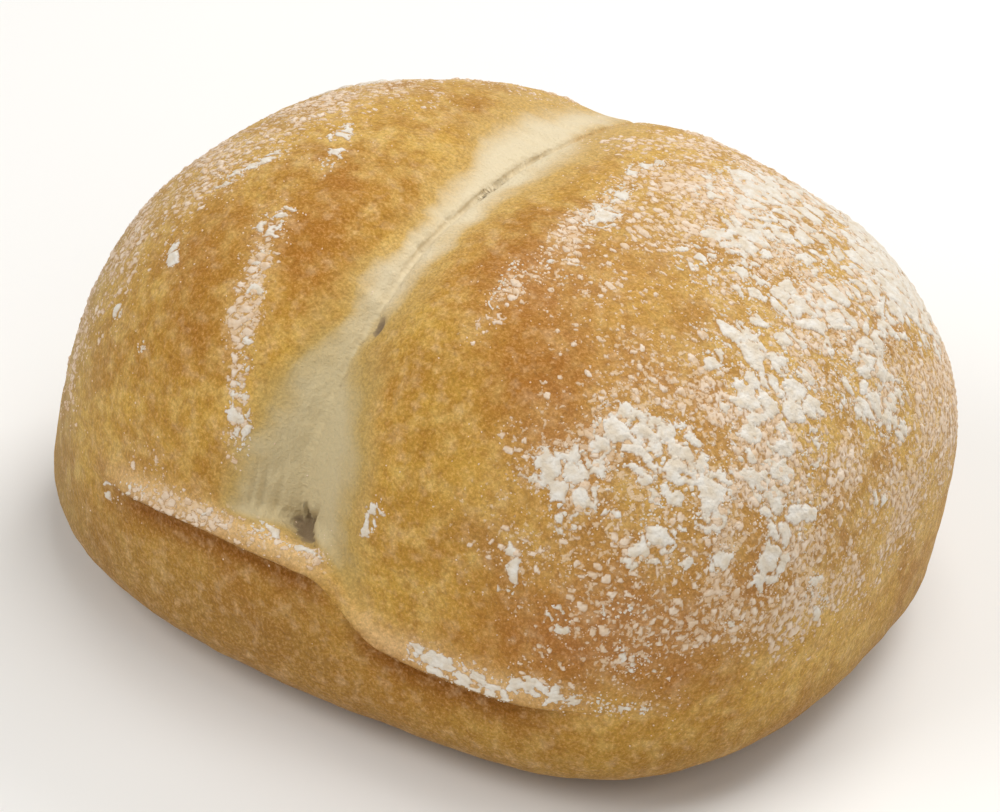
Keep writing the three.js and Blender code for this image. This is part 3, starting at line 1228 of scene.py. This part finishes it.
@dataclass
class Crust:
    """The roll's whole crust as one closed mesh with fine relief, in millimetres.

    An edge is the pair of noise values between which a pattern comes in.
    """

    loaf: Loaf
    flouring: Flouring
    finish: BakedWheatCrust
    band: PaleBand = PaleBand()
    chance: Chance = Chance(3)
    # mesh
    columns: int = 600
    crowding: float = 0.45  # how much closer the columns stand beside the crease
    skirt_rings: int = 36
    step_rings: int = 9
    lip_rings: int = 20
    lip_rings_to: float = 7.5  # height over the step that these reach
    dome_rings: int = 99
    top_crowding: float = 0.45
    # relief all over
    inset: float = 0.3  # how far inside the solid the crust stands, to make room for the flour
    base_edge: float = 2.0  # height in which relief and inset start over the flat base
    skin: float = 0.22  # depth of the crust's low lumps
    skin_size: float = 3.6  # breadth of the lumps
    # stretch marks
    wrinkle: float = 0.45  # depth of the stretch marks on the small lobe's side of the slit
    wrinkle_size: float = 1.2  # breadth of a mark
    wrinkle_stretch: tuple[float, float, float] = (0.22, 1.0, 0.3)
    wrinkle_edge: tuple[float, float] = (0.45, 0.75)
    wrinkle_side: tuple[float, float] = (-0.5, 1.0)  # off the slit, where they end
    wrinkle_from: tuple[float, float] = (3.0, 10.0)  # distance from the crown, where they start
    # folds
    fold: float = 0.35  # depth of the short folds in the corner behind the lip
    fold_width: float = 0.28
    folds_at: tuple[float, ...] = (-5.6, -4.4, -2.6)
    fold_starts: tuple[float, float] = (4.5, 6.0)  # heights over the step
    fold_ends: tuple[float, float] = (9.0, 13.0)
    # crack along the slit, with a small hole in it
    slit_break: float = 4.0  # breadth of the parts into which it breaks
    slit_break_edge: tuple[float, float] = (0.36, 0.6)
    slit_wander: float = 1.2  # how far it wanders in all
    slit_wander_size: float = 2.5  # breadth of a bend
    slit_line_width: float = 0.22
    slit_line_depth: float = 0.3
    slit_over_step: tuple[float, float] = (3.0, 6.0)  # heights over which it starts
    slit_shade: float = 0.2  # how dark the painted shade in the crack is
    slit_front_shade: float = 0.4  # how much darker it is in front
    slit_front: tuple[float, float] = (5.0, 30.0)  # distances from the middle
    slit_shade_over_step: tuple[float, float] = (4.0, 6.0)
    hole_at: tuple[float, float] = (1.2, -32.0)  # off the slit and along the crease
    hole_wide: float = 0.8
    hole_length_share: float = 0.6  # the hole's width over its length
    hole_share: float = 2.6  # depth of the hole over that of the slit's line
    # where the finish changes, and where shade is painted
    pit_full: float = 2.8  # about how far the pit pushes its deepest points
    pit_shade_edge: tuple[float, float] = (0.3, 0.8)
    pit_ragged: float = 0.3  # unevenness of the pit's outline, as a share of its depth
    pit_ragged_size: float = 1.2
    skirt_shade_height: float = 13.0  # depth under the step at which the skirt's painted shade is full
    groove_shade_at: float = -1.9  # height over the step of the painted shade in the groove
    groove_shade_width: float = 2.7
    # height over the step of the lip's lighter face with its painted highlight
    rim_at: float = 2.0
    rim_width: float = 1.9
    olive_shade_strength: float = 1.6  # how strong the painted shade on the palest dough would be, before the limit of 1
    olive_shade_front: tuple[float, float] = (22.0, 40.0)  # distances from the middle
    shed_dust: float = 0.2  # dust that goes with thick flour, as a share of it
    pale_shelter: float = 0.75  # share of the dust that pale dough keeps off
    under_step_dust: float = 0.4  # share of it that lies under the step
    under_step: tuple[float, float] = (-0.6, 0.4)
    browning_and_shade: tuple[Drift, ...] = (
        Drift((12, -18, 60), 9.0, 0.8, to=(26, -33, 53)),
        Drift((26, -46, 26), 8.0, 0.7, to=(46, -38, 28)),
        Drift((-17, -14, 61), 5.5, 0.6, to=(-14, -28, 57)),
        Drift((23, -8, 60), 6.0, 0.45),
        Drift((-28, -24, 57), 7.0, 0.35, to=(-26, -38, 48)),
        Drift((-12, -46, 14), 9.0, 0.5, to=(12, -46, 12)),
        # painted shade on the front of the crease's right bank
        Drift((3, -36, 50), 4.5, 0.35, to=(2, -43, 40)),
        Drift((32, -20, 57), 7.0, 0.4, to=(48, -24, 46)),
        Drift((36, -42, 34), 8.0, 0.65, to=(54, -28, 34)),
    )
    # painted shade down the small lobe's left side
    side_shade: tuple[Drift, ...] = (
        Drift((-53, -18, 38), 13.0, 0.9, to=(-49, -30, 18)),
    )

    def azimuths(self) -> np.ndarray:
        """Azimuth of each column."""
        even = 2 * math.pi * np.arange(self.columns) / self.columns
        return even + self.crowding / 2 * np.sin(2 * even)

    def elevations(self, azimuths: np.ndarray) -> np.ndarray:
        """Elevations of the rings, from the floor by way of the step under the lip.

        Args:
            azimuths: Azimuth of each column.

        Returns:
            The elevation of each ring in each column.
        """
        loaf = self.loaf
        dome = loaf.dome_height - loaf.belly_height
        step = loaf.lip.step(azimuths, loaf.belly_height) - loaf.belly_height
        levels = [
            loaf.angle((step + over) / dome, loaf.dome_power)
            for over in (-loaf.lip.edge, loaf.lip.edge, self.lip_rings_to)
        ]
        floor = -loaf.angle(1 / loaf.belly_depth_share, loaf.belly_power)
        bounds = [np.full_like(step, floor), *levels, np.full_like(step, math.pi / 2)]
        counts = (self.skirt_rings, self.step_rings, self.lip_rings, self.dome_rings)
        crowdings = (0.0, 0.0, 0.0, self.top_crowding)
        rows = []
        for low, high, count, crowding in zip(bounds, bounds[1:], counts, crowdings):
            share = (np.arange(count) / count)[None, :]
            share = share * (1 + crowding * (1 - share))
            rows.append(low[:, None] + (high - low)[:, None] * share)
        return np.concatenate(rows, axis=1)

    def faces(self, rings: int) -> list[tuple[int, ...]]:
        """Faces between the columns, with a fan at the top and one at the base.

        Args:
            rings: How many points each column has.

        Returns:
            The faces as rows of point numbers.
        """
        top = self.columns * rings
        base = top + 1
        faces = []
        for column in range(self.columns):
            here, there = column * rings, (column + 1) % self.columns * rings
            faces.extend(
                (here + ring, there + ring, there + ring + 1, here + ring + 1)
                for ring in range(rings - 1)
            )
            faces.append((here + rings - 1, there + rings - 1, top))
            faces.append((there, here, base))
        return faces

    def build(self) -> bpy.types.Object:
        """Builds the crust with its relief and finish.

        Returns:
            The crust's object.
        """
        azimuths = self.azimuths()
        elevations = self.elevations(azimuths)
        rings = elevations.shape[1]
        grid = self.loaf.crust(np.repeat(azimuths[:, None], rings, axis=1), elevations)
        crown = self.loaf.crust(np.zeros(1), np.full(1, math.pi / 2))
        # the last two points are the crown and, at the origin, the middle of the base
        points = CrustPoints(*(
            np.concatenate([part.reshape(-1, *part.shape[2:]), end, 0 * end])
            for part, end in zip(vars(grid).values(), vars(crown).values())
        ))
        low, high = (np.array(corner) / METRES_PER_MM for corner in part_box(NODE))
        middle = (points.place.min(0) + points.place.max(0)) / 2
        shift = np.array([*((low + high) / 2 - middle)[:2], 0.0])
        points.place[:-1] += shift
        crust = new_piece("crust", points.place, self.faces(rings), self.finish.material())
        values = self.fields(points)
        self.add_relief(crust.data, points, values)
        for field, numbers in values.items():
            layer = crust.data.attributes.new(field.value, "FLOAT", "POINT")
            layer.data.foreach_set("value", numbers.astype(np.float32))
        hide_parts(NODE)
        return crust

    def fields(self, points: CrustPoints) -> dict[Field, np.ndarray]:
        """Works out the values that each point carries for the finish.

        Args:
            points: The crust's points.

        Returns:
            The values by field.
        """
        place, over_step, front = points.place, points.over_step, -points.along
        ragged = self.pit_ragged * (self.chance.clouds(place, self.pit_ragged_size) - 0.5)
        pit = smooth(*self.pit_shade_edge, points.pit / self.pit_full + ragged)
        dark = self.slit_shade + self.slit_front_shade * smooth(*self.slit_front, front)
        slit = self.slit_line(points) * dark * smooth(*self.slit_shade_over_step, over_step)
        pale = self.band.share(points)
        scorch = points.lip * bell(over_step - self.groove_shade_at, self.groove_shade_width)
        above = smooth(*self.under_step, over_step)
        shelter = (1 - self.pale_shelter * pale) * (1 - scorch)
        shelter = shelter * (self.under_step_dust + (1 - self.under_step_dust) * above)
        dust = self.flouring.dust(place) + self.shed_dust * self.flouring.thickness(place)
        browning_and_shade, side_shade = (
            sum(spot.amount_at(place) for spot in spots) for spots in (self.browning_and_shade, self.side_shade)
        )
        raw = np.minimum(self.olive_shade_strength * pale, 1.0) * smooth(*self.olive_shade_front, front)
        return {
            Field.DUST: np.minimum(dust, self.flouring.most_dust) * shelter,
            Field.PALE: pale,
            Field.SKIRT_SHADE: smooth(0, self.skirt_shade_height, -over_step),
            Field.DEEP_SHADE: np.maximum(pit, np.minimum(slit, 1.0)),
            Field.GROOVE_SHADE: scorch,
            Field.BROWN: np.minimum(browning_and_shade, 1.0),
            Field.RIM_TONE_AND_HIGHLIGHT: points.lip * bell(over_step - self.rim_at, self.rim_width),
            Field.RAW: np.minimum(raw + side_shade, 1.0),
        }

    def slit_line(self, points: CrustPoints) -> np.ndarray:
        """The fine broken crack along the slit, with the small hole in it.

        Args:
            points: The crust's points.

        Returns:
            1 in the crack, more in the hole and 0 off them.
        """
        broken = self.chance.clouds(points.place, self.slit_break)
        wander = self.slit_wander * (self.chance.clouds(points.place, self.slit_wander_size) - 0.5)
        line = bell(points.off_slit + wander, self.slit_line_width)
        line = smooth(*self.slit_break_edge, broken) * line
        off, along = self.hole_at
        away = np.hypot(points.off_slit - off, self.hole_length_share * (points.along - along))
        return np.maximum(line, self.hole_share * bell(away, self.hole_wide))

    def add_relief(
        self, mesh: bpy.types.Mesh, points: CrustPoints, values: Mapping[Field, np.ndarray],
    ) -> None:
        """Moves the crust's points out and in for its fine forms.

        Args:
            mesh: The crust's mesh.
            points: Its points.
            values: Their values by field.
        """
        place, over_step = points.place, points.over_step
        lumps = self.chance.clouds(place, self.skin_size) - 0.5
        grooves = self.chance.clouds(place * np.array(self.wrinkle_stretch), self.wrinkle_size, 2)
        side = 1 - smooth(*self.wrinkle_side, points.off_slit)
        side = side * smooth(*self.wrinkle_from, np.abs(points.along))
        corner = sum(bell(points.off_crease - at, self.fold_width) for at in self.folds_at)
        corner = corner * smooth(*self.fold_starts, over_step)
        corner = corner * (1 - smooth(*self.fold_ends, over_step)) * (points.along < 0)
        slit = self.slit_line(points) * smooth(*self.slit_over_step, over_step)
        relief = (
            2 * self.skin * lumps
            - self.wrinkle * smooth(*self.wrinkle_edge, grooves) * values[Field.PALE] * side
            - self.fold * corner
            - self.slit_line_depth * slit
            - self.inset
        )
        normal = np.empty(place.size, dtype=np.float32)
        mesh.vertices.foreach_get("normal", normal)
        move = normal.reshape(-1, 3) * relief[:, None]
        moved = place + move * smooth(0.0, self.base_edge, place[:, 2:])
        moved[:, 2] = np.maximum(moved[:, 2], 0)
        mesh.vertices.foreach_set("co", (moved * METRES_PER_MM).astype(np.float32).ravel())
        mesh.update()


class Skin:
    """The crust's surface, on which flour lies."""

    HOLD = 1.6  # how well flour holds on golden crust, where 1 is fully
    KEPT_OFF = 1.5  # how much pale dough and the groove under the lip, with its painted shade, take from that

    def __init__(self, crust: bpy.types.Object, columns: int) -> None:
        """Reads the surface.

        Args:
            crust: The crust's object.
            columns: How many columns its points stand in.
        """
        mesh = crust.data
        mesh.calc_loop_triangles()
        self.columns = columns
        self.rings = (len(mesh.vertices) - 2) // columns
        self.corners = self.read(mesh.loop_triangles, "vertices", 3, np.int32)
        self.place = self.read(mesh.vertices, "co", 3) / METRES_PER_MM
        self.normal = self.read(mesh.vertices, "normal", 3)
        self.dust, pale, scorch = (
            self.read(mesh.attributes[field.value].data, "value", 1)[:, 0]
            for field in (Field.DUST, Field.PALE, Field.GROOVE_SHADE)
        )
        self.welcome = np.clip(self.HOLD - self.KEPT_OFF * (pale + scorch), 0, 1)
        a, b, c = (self.place[self.corners[:, i]] for i in range(3))
        self.area = np.linalg.norm(np.cross(b - a, c - a), axis=-1)

    @staticmethod
    def read(
        items: bpy.types.bpy_prop_collection, name: str, width: int, kind: type = np.float32,
    ) -> np.ndarray:
        """Reads one value of every item.

        Args:
            items: The mesh's points, triangles or layer values.
            name: The value's name.
            width: How many numbers it has.
            kind: The type of those numbers.

        Returns:
            The values as rows.
        """
        values = np.empty(width * len(items), dtype=kind)
        items.foreach_get(name, values)
        return values.reshape(-1, width)

    def scatter(
        self, count: int, density: np.ndarray, random: np.random.Generator,
    ) -> tuple[np.ndarray, np.ndarray]:
        """Draws spots on the surface.

        Args:
            count: How many spots.
            density: How densely they lie at each of the crust's points.
            random: The source of random draws.

        Returns:
            The spots and the crust's normals there.
        """
        weight = self.area * density[self.corners].mean(axis=1)
        chosen = self.corners[random.choice(len(weight), size=count, p=weight / weight.sum())]
        share = random.dirichlet((1, 1, 1), size=count)[..., None]
        normal = (self.normal[chosen] * share).sum(axis=1)
        normal = normal / np.linalg.norm(normal, axis=-1, keepdims=True)
        return (self.place[chosen] * share).sum(axis=1), normal

    def refined(
        self, parts: int, wanted: np.ndarray,
    ) -> tuple[np.ndarray, np.ndarray, np.ndarray]:
        """Splits squares of the crust into finer ones.

        Args:
            parts: How many finer squares stand along each side.
            wanted: Which of the crust's points need it.

        Returns:
            The finer squares as rows of finer points, and for each finer point the four
            crust points round it and their weights.
        """
        grid = wanted[: self.columns * self.rings].reshape(self.columns, self.rings)
        grid = grid | np.roll(grid, -1, axis=0)
        column, ring = np.nonzero(grid[:, :-1] | grid[:, 1:])
        across = (column[:, None] * parts + np.arange(parts))[:, :, None]
        up = (ring[:, None] * parts + np.arange(parts))[:, None, :]
        lines = parts * self.rings
        turn = ((0, 0), (1, 0), (1, 1), (0, 1))
        squares = np.stack(
            [(across + i) % (self.columns * parts) * lines + up + j for i, j in turn], axis=-1,
        )
        points, squares = np.unique(squares, return_inverse=True)
        (column, right), (ring, over) = (np.divmod(v, parts) for v in np.divmod(points, lines))
        right, over = right / parts, over / parts
        around = np.stack(
            [(column + i) % self.columns * self.rings + ring + j for i, j in turn], axis=-1,
        )
        weights = np.stack([
            (right if i else 1 - right) * (over if j else 1 - over) for i, j in turn
        ], axis=-1)
        around = np.where(weights > 0, around, around[:, :1])
        return squares.reshape(-1, 4), around, weights[..., None]


def inside_box(place: np.ndarray, margin: float = 0.02) -> np.ndarray:
    """Keeps points within the CAD model's box, in millimetres."""
    low, high = (np.array(corner) / METRES_PER_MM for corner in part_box(NODE))
    return np.clip(place, low + margin, high - margin)


@dataclass
class FlourSheet:
    """Flour that dried on the crust as a thin sheet and cracked into plates as the roll rose."""

    name: str
    flouring: Flouring
    finish: WheatFlour
    on_thick: float = 1.0  # weight of thick flour in its strength
    on_dust: float = 0.0  # weight of thin dust
    ragged: tuple[tuple[float, float], ...] = Flouring.ragged
    parts: int = 3
    least: float = 0.08  # flour below which there is none of it
    needs: float = 0.33  # strength of flour that leaves any of it
    core: float = 0.42  # further strength that holds lumps together as a sheet
    run_out: float = 1.6  # distance in which the strength at its edge changes by 1
    plate: float = 2.6  # breadth of the plates between the cracks
    wander: float = 1.6  # how far the cracks stray from straight lines
    crack: float = 0.75  # breadth of the widest cracks
    closed: float = 0.6  # how much narrower than the widest cracks the closed ones are
    closed_patch: float = 5.0  # breadth of the patches in which they closed
    closed_patch_edge: tuple[float, float] = (0.4, 0.6)
    dense: tuple[float, float] = (0.8, 1.2)  # thicknesses over which cracks close everywhere
    dense_closed: float = 1.3  # how far they do, as a share of closed
    crack_raggedness: float = 0.7  # of the cracks' edges
    lump: float = 1.15  # breadth of the lumps that the plates are made of
    lump_gaps: tuple[float, float] = (0.4, -0.9)  # between lumps at the edge and in the core
    lump_raggedness: float = 0.35  # and of the lumps'
    tall: float = 0.26  # full height over the crust
    thin: float = 0.07  # height below which the crust shows through, with painted shade
    rounding: float = 0.22  # distance from its edge in which the sheet gets most of its height
    granule: float = 0.9  # breadth of the bumps on top and the notches at the edges
    unevenness: float = 0.7  # how far the height varies, as a share of it
    kept_off: float = 1.2  # strength lost where flour can't hold
    sink: float = 0.12  # how far its edge goes under the crust
    chance: Chance = Chance(8)
    lump_chance: Chance = Chance(28)
    wander_seed: int = 15

    def build(self, skin: Skin) -> bpy.types.Object:
        """Builds the sheet as one piece.

        Args:
            skin: The crust's surface.

        Returns:
            The sheet's object.
        """
        flour = self.flouring.thickness(skin.place) * skin.welcome * (self.on_thick > 0)
        flour = flour + self.on_dust * skin.dust
        squares, around, weights = skin.refined(self.parts, flour > self.least)
        place, normal, welcome = (
            (values[around] * weights).sum(axis=1)
            for values in (skin.place, skin.normal, skin.welcome[:, None])
        )
        height = self.height(place, welcome[:, 0])
        squares = squares[(height[squares] > 0).any(axis=1)]
        used, squares = np.unique(squares, return_inverse=True)
        place = place[used] + normal[used] * height[used, None]
        faces = squares.reshape(-1, 4).tolist()
        sheet = new_piece(self.name, inside_box(place), faces, self.finish.material())
        thin = 1 - np.clip(height[used] / self.thin, 0, 1)
        layer = sheet.data.attributes.new(Field.THIN.value, "FLOAT", "POINT")
        layer.data.foreach_set("value", thin.astype(np.float32))
        return sheet

    def height(self, place: np.ndarray, welcome: np.ndarray) -> np.ndarray:
        """Height of the sheet over the crust, below zero off its edge.

        Args:
            place: Points of the crust.
            welcome: How well flour holds at each of them.

        Returns:
            The heights.
        """
        strength = self.on_thick * self.flouring.thickness(place)
        strength = strength + self.on_dust * self.flouring.dust(place)
        strength = strength + self.flouring.raggedness(place, self.ragged)
        edge = self.run_out * (strength - self.needs - self.kept_off * (1 - welcome))
        drift = np.stack([
            Chance(self.wander_seed + axis).clouds(place, self.plate) for axis in range(3)
        ], axis=-1)
        wandered = (place + self.wander * drift) * np.array(self.flouring.stretch)
        notches = self.chance.clouds(place, self.granule) - 0.5
        gape = self.crack - self.closed * np.maximum(
            smooth(*self.closed_patch_edge, self.chance.clouds(place, self.closed_patch)),
            self.dense_closed * smooth(*self.dense, self.flouring.thickness(place)),
        )
        plates = self.chance.borders(wandered, self.plate) - gape / 2
        plates = plates + self.crack_raggedness * notches
        at_edge, in_core = self.lump_gaps
        gap = at_edge + (in_core - at_edge) * smooth(0.0, self.core, strength - self.needs)
        lumps = self.lump_chance.borders(wandered, self.lump) - gap / 2
        lumps = lumps + self.lump_raggedness * notches
        edge = np.minimum(np.minimum(edge, plates), lumps)
        rough = 1 + 2 * self.unevenness * notches
        inner = self.tall * rough * (1 - np.exp(-np.maximum(edge, 0) / self.rounding))
        return inner + np.maximum(self.tall / self.rounding * np.minimum(edge, 0), -self.sink)


@dataclass
class FlourCrumbs:
    """Loose bits of flour that stuck to the crust one by one, as low rounded lumps."""

    name: str
    flouring: Flouring
    finish: WheatFlour
    tries: int
    needs: float  # strength of flour that leaves such bits
    on_dust: float  # how readily they come from thin dust
    reach: tuple[float, float]  # radius where flour lies thin and where it lies thick
    sides: int = 6
    rise: float = 0.5  # height as a share of the radius
    spread: tuple[float, float] = (0.6, 1.3)  # of their radius
    shoulder: tuple[float, float] = (0.62, 0.8)  # reach and height of the bend in their side
    full: float = 1.25  # strength of flour at which they are largest
    stray: float = 0.02  # dust that lies everywhere
    clear: float = 2.0  # height over the floor below which there are none
    on_sheet: float = 0.9  # share of the bits that thick flour swallows
    sheet_edge: tuple[float, float] = (0.5, 0.8)
    waves: tuple[int, ...] = (2, 3)  # how often their outline waves in and out
    waviness: float = 0.2  # depth of a wave as a share of the radius
    sink: float = 0.05  # how far their rim stands in the crust

    def build(self, skin: Skin, random: np.random.Generator) -> bpy.types.Object:
        """Builds the bits as one piece.

        Args:
            skin: The crust's surface.
            random: The source of random draws.

        Returns:
            The piece's object.
        """
        flour = self.flouring.thickness(skin.place) * skin.welcome
        flour = flour + self.on_dust * (skin.dust + self.stray)
        spot, upright = skin.scatter(self.tries, flour, random)
        strength = self.flouring.strength(spot)
        covered = self.on_sheet * smooth(*self.sheet_edge, strength)
        bare = random.uniform(size=self.tries) > covered
        dusted = strength + self.on_dust * self.flouring.dust(spot)
        kept = (dusted > self.needs) & (spot[:, 2] > self.clear) & bare
        spot, upright, strength = spot[kept], upright[kept], strength[kept]
        low, high = self.reach
        reach = low + (high - low) * smooth(self.needs, self.full, strength)
        reach = (reach * random.uniform(*self.spread, len(reach)))[:, None]
        aside = np.cross(upright, random.normal(size=upright.shape))
        aside = aside / np.linalg.norm(aside, axis=-1, keepdims=True)
        forward = np.cross(upright, aside)
        turn = 2 * math.pi * np.arange(self.sides) / self.sides
        phase = random.uniform(0, 2 * math.pi, (len(self.waves), len(reach), 1))
        waves = sum(np.cos(k * turn + shift) for k, shift in zip(self.waves, phase))
        radius = (reach * (1 + self.waviness * waves))[..., None]
        turn = turn[:, None]
        rim = radius * (aside[:, None] * np.cos(turn) + forward[:, None] * np.sin(turn))
        inwards, upwards = self.shoulder
        points = np.stack([
            spot[:, None] + rim - self.sink * upright[:, None],
            spot[:, None] + inwards * rim + upwards * self.rise * (reach * upright)[:, None],
        ], axis=1).reshape(len(reach), -1, 3)
        top = spot + self.rise * reach * upright
        points = np.concatenate([points, top[:, None]], axis=1).reshape(-1, 3)
        return new_piece(
            self.name, inside_box(points), self.faces(len(reach)), self.finish.material(),
        )

    def faces(self, count: int) -> list[tuple[int, ...]]:
        """Faces of all bits, each a band round the rim and a fan over it.

        Args:
            count: How many bits there are.

        Returns:
            The faces as rows of point numbers.
        """
        sides = self.sides
        faces = []
        for first in range(0, count * (2 * sides + 1), 2 * sides + 1):
            for side in range(sides):
                here, there = first + side, first + (side + 1) % sides
                faces.append((here, there, there + sides, here + sides))
                faces.append((here + sides, there + sides, first + 2 * sides))
        return faces


# Stage


@dataclass(frozen=True)
class Softbox:
    """A square soft light that faces the roll, in metres and watts."""

    name: str
    place: tuple[float, float, float]
    power: float
    side: float = 0.5
    aim: tuple[float, float, float] = (0.0, 0.0, 0.03)

    def build(self) -> bpy.types.Object:
        """Adds the light.

        Returns:
            The light's object.
        """
        data = bpy.data.lights.new(self.name, "AREA")
        data.size = self.side
        data.energy = self.power
        light = bpy.data.objects.new(self.name, data)
        light.location = self.place
        facing = Vector(self.aim) - Vector(self.place)
        light.rotation_euler = facing.to_track_quat("-Z", "Y").to_euler()
        bpy.context.collection.objects.link(light)
        return light


@dataclass(frozen=True)
class Studio:
    """Floor, lights and camera, with angles in degrees and lengths in millimetres."""

    azimuth: float = 28.6
    elevation: float = 35.4
    distance: float = 700.0
    roll: float = 3.0
    lens: float = 187.4
    sensor_width: float = 36.0
    clip_start: float = 50.0
    aim: tuple[float, float, float] = (0.3, 0.3, 25.4)
    floor_side: float = 6000.0
    board: PaintedBoard = PaintedBoard()
    sky_strength: float = 0.18
    softboxes: tuple[Softbox, ...] = (
        Softbox("top", (0.15, 0.1, 0.75), 2.3),
        Softbox("left", (-0.36, -0.48, 0.55), 2.9),
        Softbox("right", (0.5, -0.3, 0.45), 1.1),
        Softbox("back", (0.1, 0.6, 0.5), 3.4),
    )

    def camera(self) -> bpy.types.Object:
        """Adds the camera and makes it the scene's own.

        Returns:
            The camera's object.
        """
        a, e, r = (math.radians(v) for v in (self.azimuth, self.elevation, self.roll))
        back = Vector((math.sin(a) * math.cos(e), -math.cos(a) * math.cos(e), math.sin(e)))
        right = Vector((math.cos(a), math.sin(a), 0))
        up = back.cross(right)
        turned_right = right * math.cos(r) + up * math.sin(r)
        turned_up = back.cross(turned_right)
        turn = Matrix((turned_right, turned_up, back)).transposed().to_4x4()
        spot = (Vector(self.aim) + back * self.distance) * METRES_PER_MM
        data = bpy.data.cameras.new("camera")
        data.lens = self.lens
        data.sensor_width = self.sensor_width
        data.clip_start = self.clip_start * METRES_PER_MM
        camera = bpy.data.objects.new("camera", data)
        camera.matrix_world = Matrix.Translation(spot) @ turn
        bpy.context.collection.objects.link(camera)
        bpy.context.scene.camera = camera
        return camera

    def floor(self) -> bpy.types.Object:
        """Adds the pale floor.

        Returns:
            The floor's object.
        """
        half = self.floor_side * METRES_PER_MM / 2
        mesh = bpy.data.meshes.new("floor")
        corners = [(-half, -half, 0), (half, -half, 0), (half, half, 0), (-half, half, 0)]
        mesh.from_pydata(corners, [], [(0, 1, 2, 3)])
        mesh.materials.append(self.board.material())
        floor = bpy.data.objects.new("floor", mesh)
        bpy.context.collection.objects.link(floor)
        return floor

    def build(self) -> None:
        """Builds the whole stage."""
        scene = bpy.context.scene
        scene.view_settings.view_transform = "Standard"
        world = bpy.data.worlds.new("studio")
        world.use_nodes = True
        sky = world.node_tree.nodes["Background"]
        sky.inputs["Color"].default_value = (1.0, 1.0, 1.0, 1.0)
        sky.inputs["Strength"].default_value = self.sky_strength
        scene.world = world
        self.floor()
        for softbox in self.softboxes:
            softbox.build()
        self.camera()
        LOG.info("stage: camera, floor and %d softboxes", len(self.softboxes))


def main() -> None:
    """Builds the stage and the roll, and ties the roll to the frame."""
    logging.basicConfig(level=logging.INFO, format="%(message)s")
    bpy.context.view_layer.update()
    Studio().build()
    flouring, flour = Flouring(), WheatFlour()
    dusty = WheatFlour(name="flour_dust", white="EBD8C2", cream="DDBF9C")
    crust = Crust(Loaf(), flouring, BakedWheatCrust())
    skin = Skin(crust.build(), crust.columns)
    FlourSheet("flour_plates", flouring, flour, parts=4).build(skin)
    FlourSheet(
        "flour_film", flouring, dusty, on_thick=-0.1, on_dust=0.6,
        ragged=((4.4, 0.4), (1.4, 0.6), (0.6, 0.5)), least=0.12, needs=0.24, core=0.4,
        crack=-0.6, closed=0.0, crack_raggedness=0.0, lump=1.1, lump_gaps=(0.42, 0.12),
        wander=0.6, thin=0.05, rounding=0.18, granule=0.6,
    ).build(skin)
    random = np.random.default_rng(RANDOM_SEED)
    FlourCrumbs(
        "flour_crumbs", flouring, flour, tries=14000, needs=0.35, on_dust=0.1, reach=(0.15, 0.42),
    ).build(skin, random)
    FlourCrumbs(
        "flour_specks", flouring, dusty, tries=14000, needs=0.1, on_dust=1.0, reach=(0.14, 0.3),
        rise=0.4, sides=5,
    ).build(skin, random)


if __name__ == "__main__":
    main()
